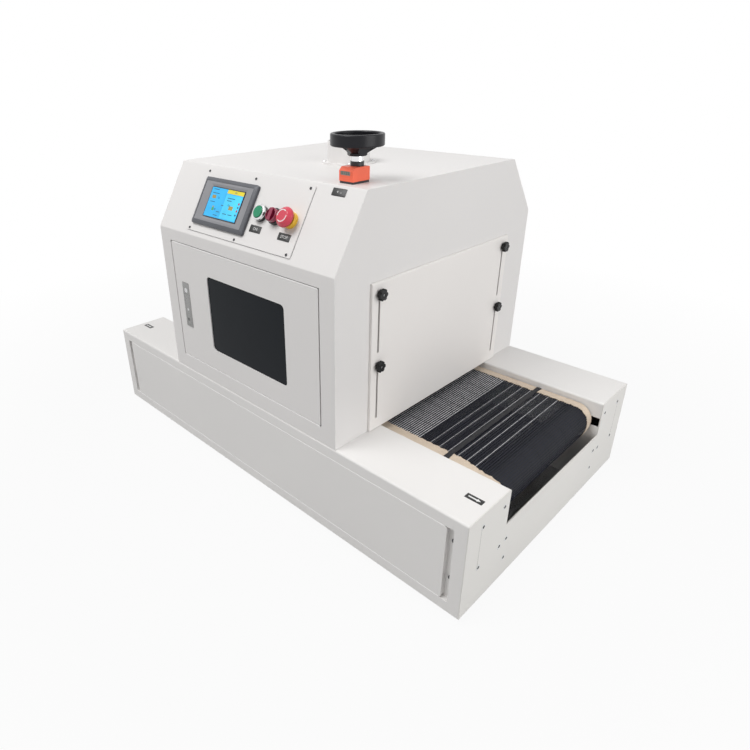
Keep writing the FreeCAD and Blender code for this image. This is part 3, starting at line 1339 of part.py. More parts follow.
def lamp_reflector():
    body = new_body("lamp_reflector")
    section = [
        ("-lamp_half_x", "lamp_low"),
        ("-lamp_half_x", "(lamp_low + lamp_top) / 2", "bend_radius"),
        ("-lamp_roof", "lamp_top", "bend_radius"),
        ("lamp_roof", "lamp_top", "bend_radius"),
        ("lamp_half_x", "(lamp_low + lamp_top) / 2", "bend_radius"),
        ("lamp_half_x", "lamp_low"),
    ]
    pad(body, "XZ_Plane", [("polygon", section)], "-lamp_half_y", "lamp_half_y")
    hollow = [
        ("sheet_gauge - lamp_half_x", "lamp_low"),
        ("sheet_gauge - lamp_half_x", "(lamp_low + lamp_top) / 2 - sheet_gauge"),
        ("sheet_gauge - lamp_roof", "lamp_top - sheet_gauge"),
        ("lamp_roof - sheet_gauge", "lamp_top - sheet_gauge"),
        ("lamp_half_x - sheet_gauge", "(lamp_low + lamp_top) / 2 - sheet_gauge"),
        ("lamp_half_x - sheet_gauge", "lamp_low"),
    ]
    pocket(body, "XZ_Plane", [("polygon", hollow)], "sheet_gauge - lamp_half_y", "lamp_half_y - sheet_gauge")
    node("lamp_reflector", place(body, "hood_shift"))


def lamp_tubes():
    tubes = []
    inside = "lamp_half_y - sheet_gauge"
    for side in (-1, 0, 1):
        body = new_body("lamp_tube")
        x = "%d * tube_pitch" % side
        cap = rectangle((x + " - tube_cap_size / 2", x + " + tube_cap_size / 2"),
                        ("tube_axis - tube_cap_size / 2", "tube_axis + tube_cap_size / 2"), "block_round")
        pad(body, "XZ_Plane", [cap], "-(%s)" % inside, "tube_cap - (%s)" % inside)
        pad(body, "XZ_Plane", [("circle", x, "tube_axis", "tube_radius")], "tube_cap - (%s)" % inside,
            inside + " - tube_cap")
        pad(body, "XZ_Plane", [cap], inside + " - tube_cap", inside)
        tubes.append(place(body, "hood_shift"))
    group("lamp_tubes", tubes)


# Exhaust: collar on the roof and axial fan below it
def at_exhaust(body):
    return place(body, "exhaust_x", "exhaust_line")


def exhaust_collar():
    body = new_body("exhaust_collar")
    top = "roof_top + exhaust_height"
    revolve(body, [("polygon", [
        ("exhaust_bore", "roof_top"),
        ("exhaust_flange", "roof_top"),
        ("exhaust_flange", "roof_top + sheet_gauge"),
        ("exhaust_radius", "roof_top + sheet_gauge"),
        ("exhaust_radius", top),
        ("exhaust_bore", top),
    ])])
    node("exhaust_collar", at_exhaust(body))


def fan_frame():
    body = new_body("fan_frame")
    half = "fan_size / 2"
    frame = rectangle(("-" + half, half), ("-" + half, half), "fan_corner")
    pad(body, "XY_Plane", [frame], "fan_low", "roof_inside")
    pocket(body, "XY_Plane", [("circle", "0", "0", "fan_bore")], "fan_low", "roof_inside")
    strut_top = "fan_low + fan_strut_depth"
    strut = rectangle(("0", "fan_bore + fan_strut / 2"), ("-fan_strut / 2", "fan_strut / 2"))
    strut_pad = pad(body, "XY_Plane", [strut], "fan_low", strut_top)
    polar(body, strut_pad, "3")
    pad(body, "XY_Plane", [("circle", "0", "0", "fan_hub_radius")], "fan_low", strut_top)
    node("fan_frame", at_exhaust(body))


def fan_impeller():
    body = new_body("fan_impeller")
    low = "fan_low + fan_strut_depth + moving_gap"
    pad(body, "XY_Plane", [("circle", "0", "0", "fan_hub_radius")], low, low + " + fan_hub_depth")
    middle = low + " + fan_hub_depth / 2"
    blade = [
        ("-blade_sweep", middle + " - blade_rise"),
        ("blade_gauge - blade_sweep", middle + " - blade_rise"),
        ("blade_sweep", middle + " + blade_rise"),
        ("blade_sweep - blade_gauge", middle + " + blade_rise"),
    ]
    blade_pad = pad(body, "YZ_Plane", [("polygon", blade)], "fan_hub_radius / 2", "fan_bore - fan_tip_gap")
    polar(body, blade_pad, "blade_count")
    node("fan_impeller", at_exhaust(body))


def build():
    base_floor_pan()
    side_cabinet("front_cabinet", -1)
    side_cabinet("rear_cabinet", 1)
    access_panel("front_access_panel", -1)
    access_panel("rear_access_panel", 1)
    end_plate("right_end_plate", "cabinet_end", "base_end")
    end_plate("left_end_plate", "-base_end", "-cabinet_end")
    rubber_feet()
    belt_bed_plate()
    belt_support_rods()
    conveyor_belt()
    roller("drive_roller", "-roller_place", "gearbox_end")
    roller("idler_roller", "roller_place", "block_end")
    roller_bearing_blocks()
    gear_motor()
    power_supply()
    power_inlet()
    hood_wrap()
    hood_sides()
    shutters()
    door_panel()
    door_window()
    door_hinge_brackets()
    lock_plate()
    lock_lever()
    lock_cylinder()
    control_plate()
    hmi_housing()
    hmi_screen()
    button_bezels()
    start_button()
    selector_knob()
    emergency_stop()
    handwheel()
    lift_screw()
    indicator_sleeve()
    indicator()
    guide_rods()
    lamp_carriage()
    lamp_reflector()
    lamp_tubes()
    exhaust_collar()
    fan_frame()
    fan_impeller()


def write_parts():
    doc.recompute()
    failed = [item.Name for item in doc.Objects if {"Invalid", "Error"} & set(item.State)]
    failed += [name for name, item in nodes.items() if item.Shape.isNull() or not item.Shape.isValid()]
    if failed:
        raise RuntimeError("failed objects: " + ", ".join(failed))
    os.makedirs("parts", exist_ok=True)
    for name, item in nodes.items():
        item.Shape.exportStep("parts/%s.step" % name)
    print(len(nodes), "parts written")


build()
write_parts()
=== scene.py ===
import bpy, bmesh
import math, random
from mathutils import Matrix, Vector


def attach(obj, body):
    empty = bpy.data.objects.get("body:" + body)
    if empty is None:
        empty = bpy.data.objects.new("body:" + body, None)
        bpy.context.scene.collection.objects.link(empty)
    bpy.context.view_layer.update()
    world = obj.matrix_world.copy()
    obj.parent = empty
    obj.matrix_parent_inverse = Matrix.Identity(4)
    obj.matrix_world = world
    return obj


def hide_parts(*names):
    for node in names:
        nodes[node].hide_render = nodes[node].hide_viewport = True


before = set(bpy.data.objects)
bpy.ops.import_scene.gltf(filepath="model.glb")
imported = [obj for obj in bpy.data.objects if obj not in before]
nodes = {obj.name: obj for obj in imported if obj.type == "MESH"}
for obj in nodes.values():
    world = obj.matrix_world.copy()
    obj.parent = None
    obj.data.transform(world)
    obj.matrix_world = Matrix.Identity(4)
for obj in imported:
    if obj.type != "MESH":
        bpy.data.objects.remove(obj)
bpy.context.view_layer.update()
scene = bpy.context.scene
scene.view_settings.view_transform = "Standard"
mm = 0.001
flatFrame = Matrix.Scale(mm, 4)


def srgb(r, g, b):
    def linear(v):
        v = v / 255
        return v / 12.92 if v <= 0.04045 else ((v + 0.055) / 1.055) ** 2.4
    return (linear(r), linear(g), linear(b), 1.0)


def faceFrame(x, y, z, tilt=math.pi / 2):  # a face's own axes: x along it, s up it, n out of it
    return Matrix.Translation(Vector((x, y, z)) * mm) @ Matrix.Rotation(tilt, 4, "X") @ flatFrame


slope = {"x": -4.0, "face": -299.0, "shoulder": 517.0, "lean": 73.4, "rise": 122.0}
slopeTilt = math.atan2(slope["rise"], slope["lean"])
slopeFrame = faceFrame(slope["x"], slope["face"], slope["shoulder"], slopeTilt)


# small mesh tools, all in millimetres until a frame matrix places them
meshTools = {"merge": 1e-6, "smooth": 35, "cornerSteps": 5, "circleSteps": 48}
lettering = {"curveSteps": 3, "relief": 0.04}


def newObject(name, mesh, material=None):
    obj = bpy.data.objects.new(name, mesh)
    scene.collection.objects.link(obj)
    if material:
        mesh.materials.clear()
        mesh.materials.append(material)
    return obj


def meshFrom(name, verts, faces, place=flatFrame, smooth=meshTools["smooth"], merge=True):
    mesh = bpy.data.meshes.new(name)
    mesh.from_pydata([tuple(place @ Vector(v)) for v in verts], [], faces)
    bm = bmesh.new()
    bm.from_mesh(mesh)
    if merge:
        bmesh.ops.remove_doubles(bm, verts=bm.verts, dist=meshTools["merge"])
        bmesh.ops.recalc_face_normals(bm, faces=bm.faces)
    bm.to_mesh(mesh)
    bm.free()
    if smooth:
        mesh.shade_smooth()
        mesh.set_sharp_from_angle(angle=math.radians(smooth))
    return mesh


def shaped(name, shape, material, place=flatFrame, smooth=meshTools["smooth"], merge=True):
    return newObject(name, meshFrom(name, *shape, place, smooth, merge), material)


def ringLoop(w, h, r, n, x=0, y=0, steps=meshTools["cornerSteps"]):
    points = []
    for cx, cy, turn in ((1, 1, 0), (-1, 1, 90), (-1, -1, 180), (1, -1, 270)):
        for i in range(steps + 1):
            a = math.radians(turn + 90 * i / steps)
            points.append((x + cx * (w / 2 - r) + r * math.cos(a), y + cy * (h / 2 - r) + r * math.sin(a), n))
    return points


def circleLoop(r, n, x=0, y=0, steps=meshTools["circleSteps"]):
    return [(x + r * math.cos(2 * math.pi * i / steps), y + r * math.sin(2 * math.pi * i / steps), n)
            for i in range(steps)]


def loft(loops, capStart=True, capEnd=True, closed=False):
    verts, faces, count = [], [], len(loops[0])
    for loop in loops:
        verts += loop
    for k in range(len(loops) if closed else len(loops) - 1):
        here, there = k * count, (k + 1) % len(loops) * count
        for i in range(count):
            j = (i + 1) % count
            faces.append((here + i, here + j, there + j, there + i))
    if capStart:
        faces.append(tuple(range(count))[::-1])
    if capEnd:
        faces.append(tuple(range((len(loops) - 1) * count, len(loops) * count)))
    return verts, faces


def turned(rows, x=0, y=0, caps=True, steps=meshTools["circleSteps"]):  # rows of radius and height
    return loft([circleLoop(r, n, x, y, steps) for r, n in rows], caps, caps)


def prism(outline, heights):
    return loft([[(x, y, n) for x, y in outline] for n in heights])


def slab(x0, y0, x1, y1, n0, n1):
    return prism(((x0, y0), (x1, y0), (x1, y1), (x0, y1)), (n0, n1))


def joined(parts):
    verts, faces = [], []
    for v, f in parts:
        base = len(verts)
        verts += v
        faces += [tuple(i + base for i in face) for face in f]
    return verts, faces


def textShape(words, size, x, y, n):
    curve = bpy.data.curves.new("words", "FONT")
    curve.body = words
    curve.size = size
    curve.align_x = "CENTER"
    curve.align_y = "CENTER"
    curve.resolution_u = lettering["curveSteps"]
    curve.extrude = lettering["relief"]
    holder = bpy.data.objects.new("words", curve)
    scene.collection.objects.link(holder)
    bpy.context.view_layer.update()
    mesh = bpy.data.meshes.new_from_object(holder.evaluated_get(bpy.context.evaluated_depsgraph_get()))
    verts = [(v.co.x + x, v.co.y + y, v.co.z + n) for v in mesh.vertices]
    faces = [tuple(p.vertices) for p in mesh.polygons]
    bpy.data.objects.remove(holder)
    bpy.data.curves.remove(curve)
    bpy.data.meshes.remove(mesh)
    return verts, faces


# node trees


def newTree(name, kind, inputs, outputs):
    tree = bpy.data.node_groups.new(name, kind + "NodeTree")
    for label, socketKind, *value in inputs:
        socket = tree.interface.new_socket(name=label, in_out="INPUT", socket_type="NodeSocket" + socketKind)
        if value:
            socket.default_value = value[0]
    for label, socketKind in outputs:
        tree.interface.new_socket(name=label, in_out="OUTPUT", socket_type="NodeSocket" + socketKind)
    return tree, tree.nodes.new("NodeGroupInput").outputs, tree.nodes.new("NodeGroupOutput").inputs


def addNode(tree, kind, links=None, **values):
    node = tree.nodes.new(kind if "Node" in kind else "ShaderNode" + kind)
    for key, value in values.items():
        setattr(node, key, value)
    for key, source in (links or {}).items():
        if hasattr(source, "is_linked"):
            tree.links.new(source, node.inputs[key])
        else:
            node.inputs[key].default_value = source
    return node


def firstOut(tree, kind, links=None, **values):
    return addNode(tree, kind, links, **values).outputs[0]


geometryOutput = [("Geometry", "Geometry")]


def grown(name, mesh, tree, values):
    seed = newObject(name + "Seed", mesh)
    modifier = seed.modifiers.new("grow", "NODES")
    modifier.node_group = tree
    for item in tree.interface.items_tree:
        if item.in_out == "INPUT" and item.name in values:
            modifier[item.identifier] = values[item.name]
    bpy.context.view_layer.update()
    result = bpy.data.meshes.new_from_object(seed.evaluated_get(bpy.context.evaluated_depsgraph_get()))
    seed.modifiers.remove(modifier)
    bpy.data.objects.remove(seed)
    return newObject(name, result)


# shader groups shared by the finishes

surfaceOutputs = [("Colour", "Color"), ("Roughness", "Float"), ("Normal", "Vector")]
noiseSpan = {"From Min": 0.3, "From Max": 0.7}  # where most values of a noise texture lie
noiseDetail = {"broad": 4.0, "fine": 2.0}
bumpHeight = {"grain": 0.0006, "weave": 0.0004}
weave = {"sway": 0.6, "stainScale": 30.0, "wear": 0.1, "roughLow": 0.6, "roughHigh": 0.85}


def tinted(tree, colour, factor, amount):
    low = firstOut(tree, "Math", {0: 1.0, 1: amount}, operation="SUBTRACT")
    lift = firstOut(tree, "MapRange", {"Value": factor, **noiseSpan, "To Min": low, "To Max": 1.0})
    return firstOut(tree, "VectorMath", {0: colour, "Scale": lift}, operation="SCALE")


def noise(tree, coords, scale, detail):
    return firstOut(tree, "TexNoise", {"Vector": coords, "Scale": scale, "Detail": noiseDetail[detail]})


def putOut(tree, out, sources):
    for (label, _), source in zip(surfaceOutputs, sources):
        tree.links.new(source, out[label])
    return tree


def surfaceGroup(name, mottle, grain, rough, stretch=(1, 1, 1)):
    tree, given, out = newTree(name, "Shader", [
        ("Colour", "Color", (0.8, 0.8, 0.8, 1)), ("Mottle", "Float", mottle[0]),
        ("Mottle scale", "Float", mottle[1]), ("Grain scale", "Float", grain[0]),
        ("Grain depth", "Float", grain[1]), ("Rough low", "Float", rough[0]),
        ("Rough high", "Float", rough[1]), ("Stretch", "Vector", stretch)], surfaceOutputs)
    coords = addNode(tree, "TexCoord").outputs["Object"]
    spread = firstOut(tree, "Mapping", {"Vector": coords, "Scale": given["Stretch"]})
    broad = noise(tree, coords, given["Mottle scale"], "broad")
    fine = noise(tree, spread, given["Grain scale"], "fine")
    colour = tinted(tree, given["Colour"], broad, given["Mottle"])
    level = firstOut(tree, "MapRange", {"Value": fine, **noiseSpan, "To Min": given["Rough low"],
                                        "To Max": given["Rough high"]})
    bump = firstOut(tree, "Bump", {"Height": fine, "Strength": given["Grain depth"],
                                   "Distance": bumpHeight["grain"]})
    return putOut(tree, out, (colour, level, bump))


def weaveGroup():
    tree, given, out = newTree("clothWeave", "Shader", [
        ("Colour", "Color", (0.5, 0.4, 0.3, 1)), ("Thread", "Color", (0.3, 0.2, 0.1, 1)),
        ("Threads", "Float", 900.0), ("Depth", "Float", 0.4)], surfaceOutputs)
    coords = addNode(tree, "TexCoord").outputs["UV"]
    across, along = [
        addNode(tree, "TexWave", {"Vector": coords, "Scale": given["Threads"], "Distortion": weave["sway"]},
                wave_type="BANDS", bands_direction=side).outputs["Fac"] for side in "XY"]
    both = firstOut(tree, "Math", {0: across, 1: along}, operation="MULTIPLY")
    stain = noise(tree, coords, weave["stainScale"], "broad")
    worn = firstOut(tree, "Math", {0: both, 1: stain, 2: weave["wear"]}, operation="MULTIPLY_ADD")
    mix = addNode(tree, "Mix", {"Factor": worn, 6: given["Thread"], 7: given["Colour"]}, data_type="RGBA")
    level = firstOut(tree, "MapRange", {"Value": stain, "To Min": weave["roughLow"],
                                        "To Max": weave["roughHigh"]})
    bump = firstOut(tree, "Bump", {"Height": both, "Strength": given["Depth"],
                                   "Distance": bumpHeight["weave"]})
    return putOut(tree, out, (mix.outputs[2], level, bump))


# mottle: strength and scale; grain: scale and depth; rough: lowest and highest
groups = {
    "coat": surfaceGroup("powderCoat", mottle=(0.03, 3.0), grain=(500.0, 0.06), rough=(0.36, 0.5)),
    "plastic": surfaceGroup("mouldGrain", mottle=(0.12, 25.0), grain=(1500.0, 0.15), rough=(0.32, 0.5)),
    "metal": surfaceGroup("brushedMetal", mottle=(0.15, 12.0), grain=(300.0, 0.12), rough=(0.22, 0.4),
                          stretch=(1, 12, 12)),
    "weave": weaveGroup(),
}


def finish(name, group, colour, inputs=None, rough=None, **principled):
    mat = bpy.data.materials.new(name)
    mat.use_nodes = True
    tree = mat.node_tree
    shader = tree.nodes["Principled BSDF"]
    holder = tree.nodes.new("ShaderNodeGroup")
    holder.node_tree = groups[group]
    values = {"Colour": (*colour[:3], 1), **(inputs or {})}
    if rough:
        values["Rough low"], values["Rough high"] = rough
    for key, value in values.items():
        holder.inputs[key].default_value = value
    for key, socket in (("Colour", "Base Color"), ("Roughness", "Roughness"), ("Normal", "Normal")):
        tree.links.new(holder.outputs[key], shader.inputs[socket])
    for key, value in principled.items():
        shader.inputs[key.replace("_", " ")].default_value = value
    return mat


coatGloss = {"Specular_IOR_Level": 0.45}
plain = (1, 1, 1)  # a grain with no direction

whiteCoat = finish("whiteCoat", "coat", (0.80, 0.785, 0.77), **coatGloss)
# the white paint copied darker than whiteCoat: painted shade on the end plates
endShadeCoat = finish("endShadeCoat", "coat", (0.74, 0.725, 0.695), {"Mottle scale": 3.5}, **coatGloss)
hoodCoat = finish("hoodCoat", "coat", (0.79, 0.772, 0.76), {"Mottle scale": 2.2}, **coatGloss)
# the white paint copied paler than whiteCoat: painted light over the shade the shutters sit in
shutterLitCoat = finish("shutterLitCoat", "coat", (0.87, 0.84, 0.815), {"Mottle scale": 2.6}, **coatGloss)
# paler than whiteCoat: a painted highlight for the folded lips
lipHighlightCoat = finish("lipHighlightCoat", "coat", (0.94, 0.93, 0.92), **coatGloss)
zincSheet = finish("zincSheet", "metal", (0.60, 0.61, 0.62), {"Stretch": (14, 1, 14)}, Metallic=0.9)
# near-white bed plate, brighter than its own tone so the belt gaps show bright lines: partly painted light
# for the glints on the mesh
litBedSheet = finish("litBedSheet", "metal", (0.93, 0.93, 0.94), rough=(0.35, 0.5), Metallic=0.2)
groundBar = finish("groundBar", "metal", (0.86, 0.86, 0.87), {"Stretch": (20, 1, 20)}, Metallic=0.6)
guideBar = finish("guideBar", "metal", (0.72, 0.72, 0.73), {"Stretch": (20, 20, 1)}, Metallic=1.0)
footRubber = finish("footRubber", "plastic", (0.03, 0.03, 0.03), rough=(0.6, 0.85))
meshStrand = finish("meshStrand", "plastic", (0.009, 0.010, 0.018),
                    {"Grain scale": 2500.0, "Grain depth": 0.4, "Mottle": 0.35}, (0.5, 0.75),
                    Specular_IOR_Level=0.25)
edgeTape = finish("edgeTape", "weave", srgb(229, 216, 199),
                  {"Thread": srgb(201, 182, 160), "Threads": 420.0}, Sheen_Weight=0.2)
seamTape = finish("seamTape", "weave", (0.015, 0.015, 0.019),
                  {"Thread": (0.006, 0.006, 0.008, 1), "Threads": 500.0, "Depth": 0.6},
                  Specular_IOR_Level=0.5)
rollerBlack = finish("rollerBlack", "metal", (0.016, 0.016, 0.018), {"Stretch": (12, 1, 12)}, (0.5, 0.7),
                     Specular_IOR_Level=0.25)
blackIron = finish("blackIron", "coat", (0.02, 0.02, 0.02),
                   {"Grain scale": 250.0, "Grain depth": 0.3, "Mottle": 0.3})
castAlloy = finish("castAlloy", "metal", (0.66, 0.67, 0.68), {"Grain scale": 180.0, "Stretch": plain},
                   (0.4, 0.55), Metallic=1.0)
motorPaint = finish("motorPaint", "coat", (0.22, 0.24, 0.26), {"Grain scale": 300.0, "Grain depth": 0.2})
blackPlastic = finish("blackPlastic", "plastic", (0.022, 0.022, 0.024))
wheelPlastic = finish("wheelPlastic", "plastic", (0.006, 0.006, 0.009), {"Grain depth": 0.05}, (0.28, 0.38),
                      Specular_IOR_Level=0.3)
knobPlastic = finish("knobPlastic", "plastic", (0.010, 0.010, 0.011), rough=(0.3, 0.45),
                     Specular_IOR_Level=0.3)
smokedGlass = finish("smokedGlass", "plastic", (0.011, 0.014, 0.018),
                     {"Grain scale": 40.0, "Grain depth": 0.0, "Mottle": 0.1}, (0.07, 0.14),
                     Transmission_Weight=0.05, IOR=1.49, Specular_IOR_Level=0.06)
satinNickel = finish("satinNickel", "metal", (0.31, 0.31, 0.305), {"Stretch": (14, 14, 1)}, Metallic=0.9)
brightChrome = finish("brightChrome", "metal", (0.82, 0.82, 0.83), {"Grain depth": 0.02}, (0.06, 0.14),
                      Metallic=1.0)
darkSteel = finish("darkSteel", "metal", (0.10, 0.10, 0.105), {"Stretch": plain}, (0.3, 0.45), Metallic=0.8)
# near-black for the screw sockets: painted shade in the shallow sockets
socketShadeBlack = finish("socketShadeBlack", "plastic", (0.010, 0.010, 0.011), rough=(0.6, 0.8),
                     Specular_IOR_Level=0.2)
screwSteel = finish("screwSteel", "metal", (0.74, 0.74, 0.735), {"Stretch": plain}, (0.25, 0.4), Metallic=0.3)
bezelGrey = finish("bezelGrey", "plastic", srgb(84, 86, 92), {"Grain depth": 0.25})
frameGrey = finish("frameGrey", "plastic", srgb(140, 140, 144), {"Grain depth": 0.2})
screenGlass = finish("screenGlass", "plastic", (0.02, 0.022, 0.026), {"Grain depth": 0.0}, (0.08, 0.12))
greenCap = finish("greenCap", "plastic", srgb(16, 140, 98), {"Grain depth": 0.04}, (0.2, 0.3),
                  Subsurface_Weight=0.08, Subsurface_Radius=(0.002,) * 3)
burgundyCap = finish("burgundyCap", "plastic", srgb(150, 36, 72), {"Grain depth": 0.04}, (0.12, 0.22),
                     Coat_Weight=0.3)
yellowCollar = finish("yellowCollar", "plastic", srgb(246, 196, 60), {"Grain depth": 0.1})
redHead = finish("redHead", "plastic", srgb(214, 60, 82), {"Grain depth": 0.04}, (0.25, 0.36),
                 Coat_Weight=0.2)
orangeShell = finish("orangeShell", "plastic", srgb(252, 112, 80), {"Grain depth": 0.12})
mirrorAlloy = finish("mirrorAlloy", "metal", (0.86, 0.87, 0.88), {"Stretch": (1, 14, 14)}, (0.08, 0.2),
                     Metallic=1.0)
lampQuartz = finish("lampQuartz", "plastic", (0.80, 0.82, 0.90), {"Grain depth": 0.02, "Mottle": 0.05},
                    (0.05, 0.12))
labelBlack = finish("labelBlack", "plastic", (0.018, 0.018, 0.018), {"Grain depth": 0.05})
# grey for the strip round the control plate: a painted contact shadow
plateShadowGrey = finish("plateShadowGrey", "plastic", (0.28, 0.28, 0.28), rough=(0.6, 0.8))
seamGrey = finish("seamGrey", "plastic", (0.36, 0.355, 0.345), rough=(0.6, 0.8))
labelWhite = finish("labelWhite", "plastic", (0.82, 0.82, 0.81), {"Grain depth": 0.02})
digitGrey = finish("digitGrey", "plastic", srgb(132, 136, 128), {"Grain depth": 0.02})
print("finishes made")


# finishes on the CAD nodes

nodeFinish = {
    whiteCoat: "front_cabinet rear_cabinet front_access_panel rear_access_panel",
    endShadeCoat: "right_end_plate left_end_plate",
    hoodCoat: "hood_wrap hood_right_side hood_left_side door_panel control_plate exhaust_collar",
    shutterLitCoat: "shutter_right shutter_left",
    zincSheet: "base_floor_pan door_hinge_brackets shutter_studs power_supply",
    litBedSheet: "belt_bed_plate",
    groundBar: "belt_support_rods",
    footRubber: "rubber_feet",
    blackIron: "roller_bearing_blocks",
    rollerBlack: "drive_roller idler_roller",
    castAlloy: "lamp_carriage",
    motorPaint: "gear_motor",
    blackPlastic: "power_inlet estop_stem fan_frame fan_impeller indicator_plate indicator_sleeve",
    knobPlastic: " ".join(n for n in nodes if n.startswith("knob_")),
    smokedGlass: "door_window",
    satinNickel: "lock_plate lock_lever",
    guideBar: "guide_rods lock_cylinder",
    brightChrome: "lift_screw",
    screenGlass: "hmi_screen",
    greenCap: "start_button",
    burgundyCap: "selector_knob",
    yellowCollar: "estop_collar",
    redHead: "estop_head",
    orangeShell: "indicator_body",
    wheelPlastic: "handwheel",
    mirrorAlloy: "lamp_reflector",
    lampQuartz: "lamp_tubes",
}
for material, names in nodeFinish.items():
    for name in names.split():
        nodes[name].data.materials.clear()
        nodes[name].data.materials.append(material)
print("CAD nodes finished")


# screws

screwShape = {"sides": 12, "wall": 0.45, "crown": 0.8, "crownRise": 0.9, "land": 0.1, "margin": 0.01}
screwHeads = {"panHead": {"height": 0.55, "socket": 0.42, "depth": 0.35, "corners": 6},
              "flatHead": {"height": 0.082, "socket": 0.62, "depth": 0.07, "corners": 4}}


def screwTree():
    tree, given, out = newTree("screwField", "Geometry", [
        ("Geometry", "Geometry"), ("Head", "Object"), ("Radius", "Float"), ("Finish", "Material"),
        ("Recess", "Material")], geometryOutput)
    head = addNode(tree, "GeometryNodeObjectInfo", {"Object": given["Head"], "As Instance": True})
    aim = firstOut(tree, "GeometryNodeInputNamedAttribute", {"Name": "aim"}, data_type="FLOAT_VECTOR")
    turn = firstOut(tree, "FunctionNodeAlignRotationToVector", {"Vector": aim}, axis="Z")
    place = firstOut(tree, "GeometryNodeInstanceOnPoints", {
        "Points": given["Geometry"], "Instance": head.outputs["Geometry"], "Rotation": turn,
        "Scale": given["Radius"]})
    real = firstOut(tree, "GeometryNodeRealizeInstances", {"Geometry": place})
    paint = firstOut(tree, "GeometryNodeSetMaterial", {"Geometry": real, "Material": given["Finish"]})
    # the socket faces get the near-black finish: painted shade
    shadedFaces = firstOut(tree, "GeometryNodeInputNamedAttribute", {"Name": "recess"}, data_type="BOOLEAN")
    dark = firstOut(tree, "GeometryNodeSetMaterial", {"Geometry": paint, "Selection": shadedFaces,
                                                      "Material": given["Recess"]})
    tree.links.new(dark, out[0])
    return tree


def screwHead(name, height, socket, depth, corners):  # a head of radius 1
    shape, count = screwShape, screwShape["sides"]
    rows = ((1, 0), (1, height * shape["wall"]), (shape["crown"], height * shape["crownRise"]),
            (socket + shape["land"], height))
    loops = [circleLoop(r, n, steps=count) for r, n in rows]
    for level in (height, height - depth):
        points = circleLoop(socket, level, steps=corners)
        loop = []
        for i in range(count):
            spot = i * corners / count
            k, t = int(spot) % corners, spot - int(spot)
            a, b = points[k], points[(k + 1) % corners]
            loop.append((a[0] + (b[0] - a[0]) * t, a[1] + (b[1] - a[1]) * t, level))
        loops.append(loop)
    mesh = meshFrom(name, *loft(loops), Matrix.Identity(4))
    # faces inside the socket are marked for the painted shade
    recess = mesh.attributes.new("recess", "BOOLEAN", "FACE")
    for face in mesh.polygons:
        reach = max(mesh.vertices[i].co.xy.length for i in face.vertices)
        recess.data[face.index].value = reach < socket + shape["margin"]
    return newObject(name, mesh)


screwField = screwTree()
panHead, flatHead = [screwHead(name, **size) for name, size in screwHeads.items()]


def screws(name, body, spots, radius, head, material, place=flatFrame):
    mesh = bpy.data.meshes.new(name)
    mesh.from_pydata([tuple(place @ Vector(point)) for point, _ in spots], [], [])
    aims = mesh.attributes.new("aim", "FLOAT_VECTOR", "POINT")
    turn = place.to_3x3().normalized()
    for i, (_, aim) in enumerate(spots):
        aims.data[i].vector = turn @ Vector(aim)
    piece = grown(name, mesh, screwField, {"Head": head, "Radius": radius * mm, "Finish": material,
                                           "Recess": socketShadeBlack})
    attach(piece, body)


endScrews = {"radius": 5.8, "x": 520.0,
             "spots": ((195, 177), (258, 177), (195, 94), (258, 94), (173, 97), (173, 55))}
spots = [((sx * endScrews["x"], sy * y, z), (sx, 0, 0))
         for sx in (1, -1) for y, z in endScrews["spots"] for sy in (-1, 1)]
screws("endPlateScrews", "oven", spots, endScrews["radius"], flatHead, screwSteel)

stripScrews = {"radius": 4.0, "x": 492.0, "y": 290.0, "z": (76, 152)}
spots = [((sx * stripScrews["x"], sy * stripScrews["y"], z), (0, sy, 0))
         for sx in (-1, 1) for sy in (-1, 1) for z in stripScrews["z"]]
screws("accessScrews", "oven", spots, stripScrews["radius"], panHead, darkSteel)

plateScrews = {"radius": 2.6, "x": (-147, -5, 136), "s": (14, 129), "n": 2}
spots = [((x, s, plateScrews["n"]), (0, 0, 1)) for x in plateScrews["x"] for s in plateScrews["s"]]
screws("controlScrews", "oven", spots, plateScrews["radius"], panHead, darkSteel, slopeFrame)

flangeBolts = {"radius": 4.0, "x": 22.7, "y": -27.5, "reach": 47.3, "z": 641, "turns": (45, 135, 225, 315)}
spots = [((flangeBolts["x"] + flangeBolts["reach"] * math.cos(math.radians(a)),
           flangeBolts["y"] + flangeBolts["reach"] * math.sin(math.radians(a)), flangeBolts["z"]), (0, 0, 1))
         for a in flangeBolts["turns"]]
screws("exhaustBolts", "oven", spots, flangeBolts["radius"], panHead, brightChrome)
print("screws set")


# conveyor belt: open mesh, sewn edging, splice

belt = {"axisX": 472.5, "axisZ": 159.0, "radius": 30.1, "half": 155.0, "edge": 172.0, "shift": 4.5,
        "reach": 11.5, "slack": 17.6593, "weft": 4.88, "phase": 4.81, "warp": 31.0, "weftWidth": 3.1,
        "weftSides": 6, "strand": 0.4, "strandSides": 4, "flat": 0.24, "lift": 0.15, "arcSteps": 18,
        "sharp": 40}
tapeScale = 4  # UV units to the metre


def beltPath(radius, straightSteps=1):
    x, z, arcSteps = belt["axisX"], belt["axisZ"], belt["arcSteps"]

    def bend(centre, a):  # the return run hangs slack below the rollers
        rise = math.sin(a)
        return centre + radius * math.cos(a), z + (radius + belt["slack"] * (rise < 0)) * rise

    points = [(-x + 2 * x * i / straightSteps, z + radius) for i in range(straightSteps)]
    points += [bend(x, math.pi / 2 - math.pi * i / arcSteps) for i in range(arcSteps)]
    points += [(x - 2 * x * i / straightSteps, z - radius - belt["slack"]) for i in range(straightSteps)]
    points += [bend(-x, -math.pi / 2 - math.pi * i / arcSteps) for i in range(arcSteps)]
    return points


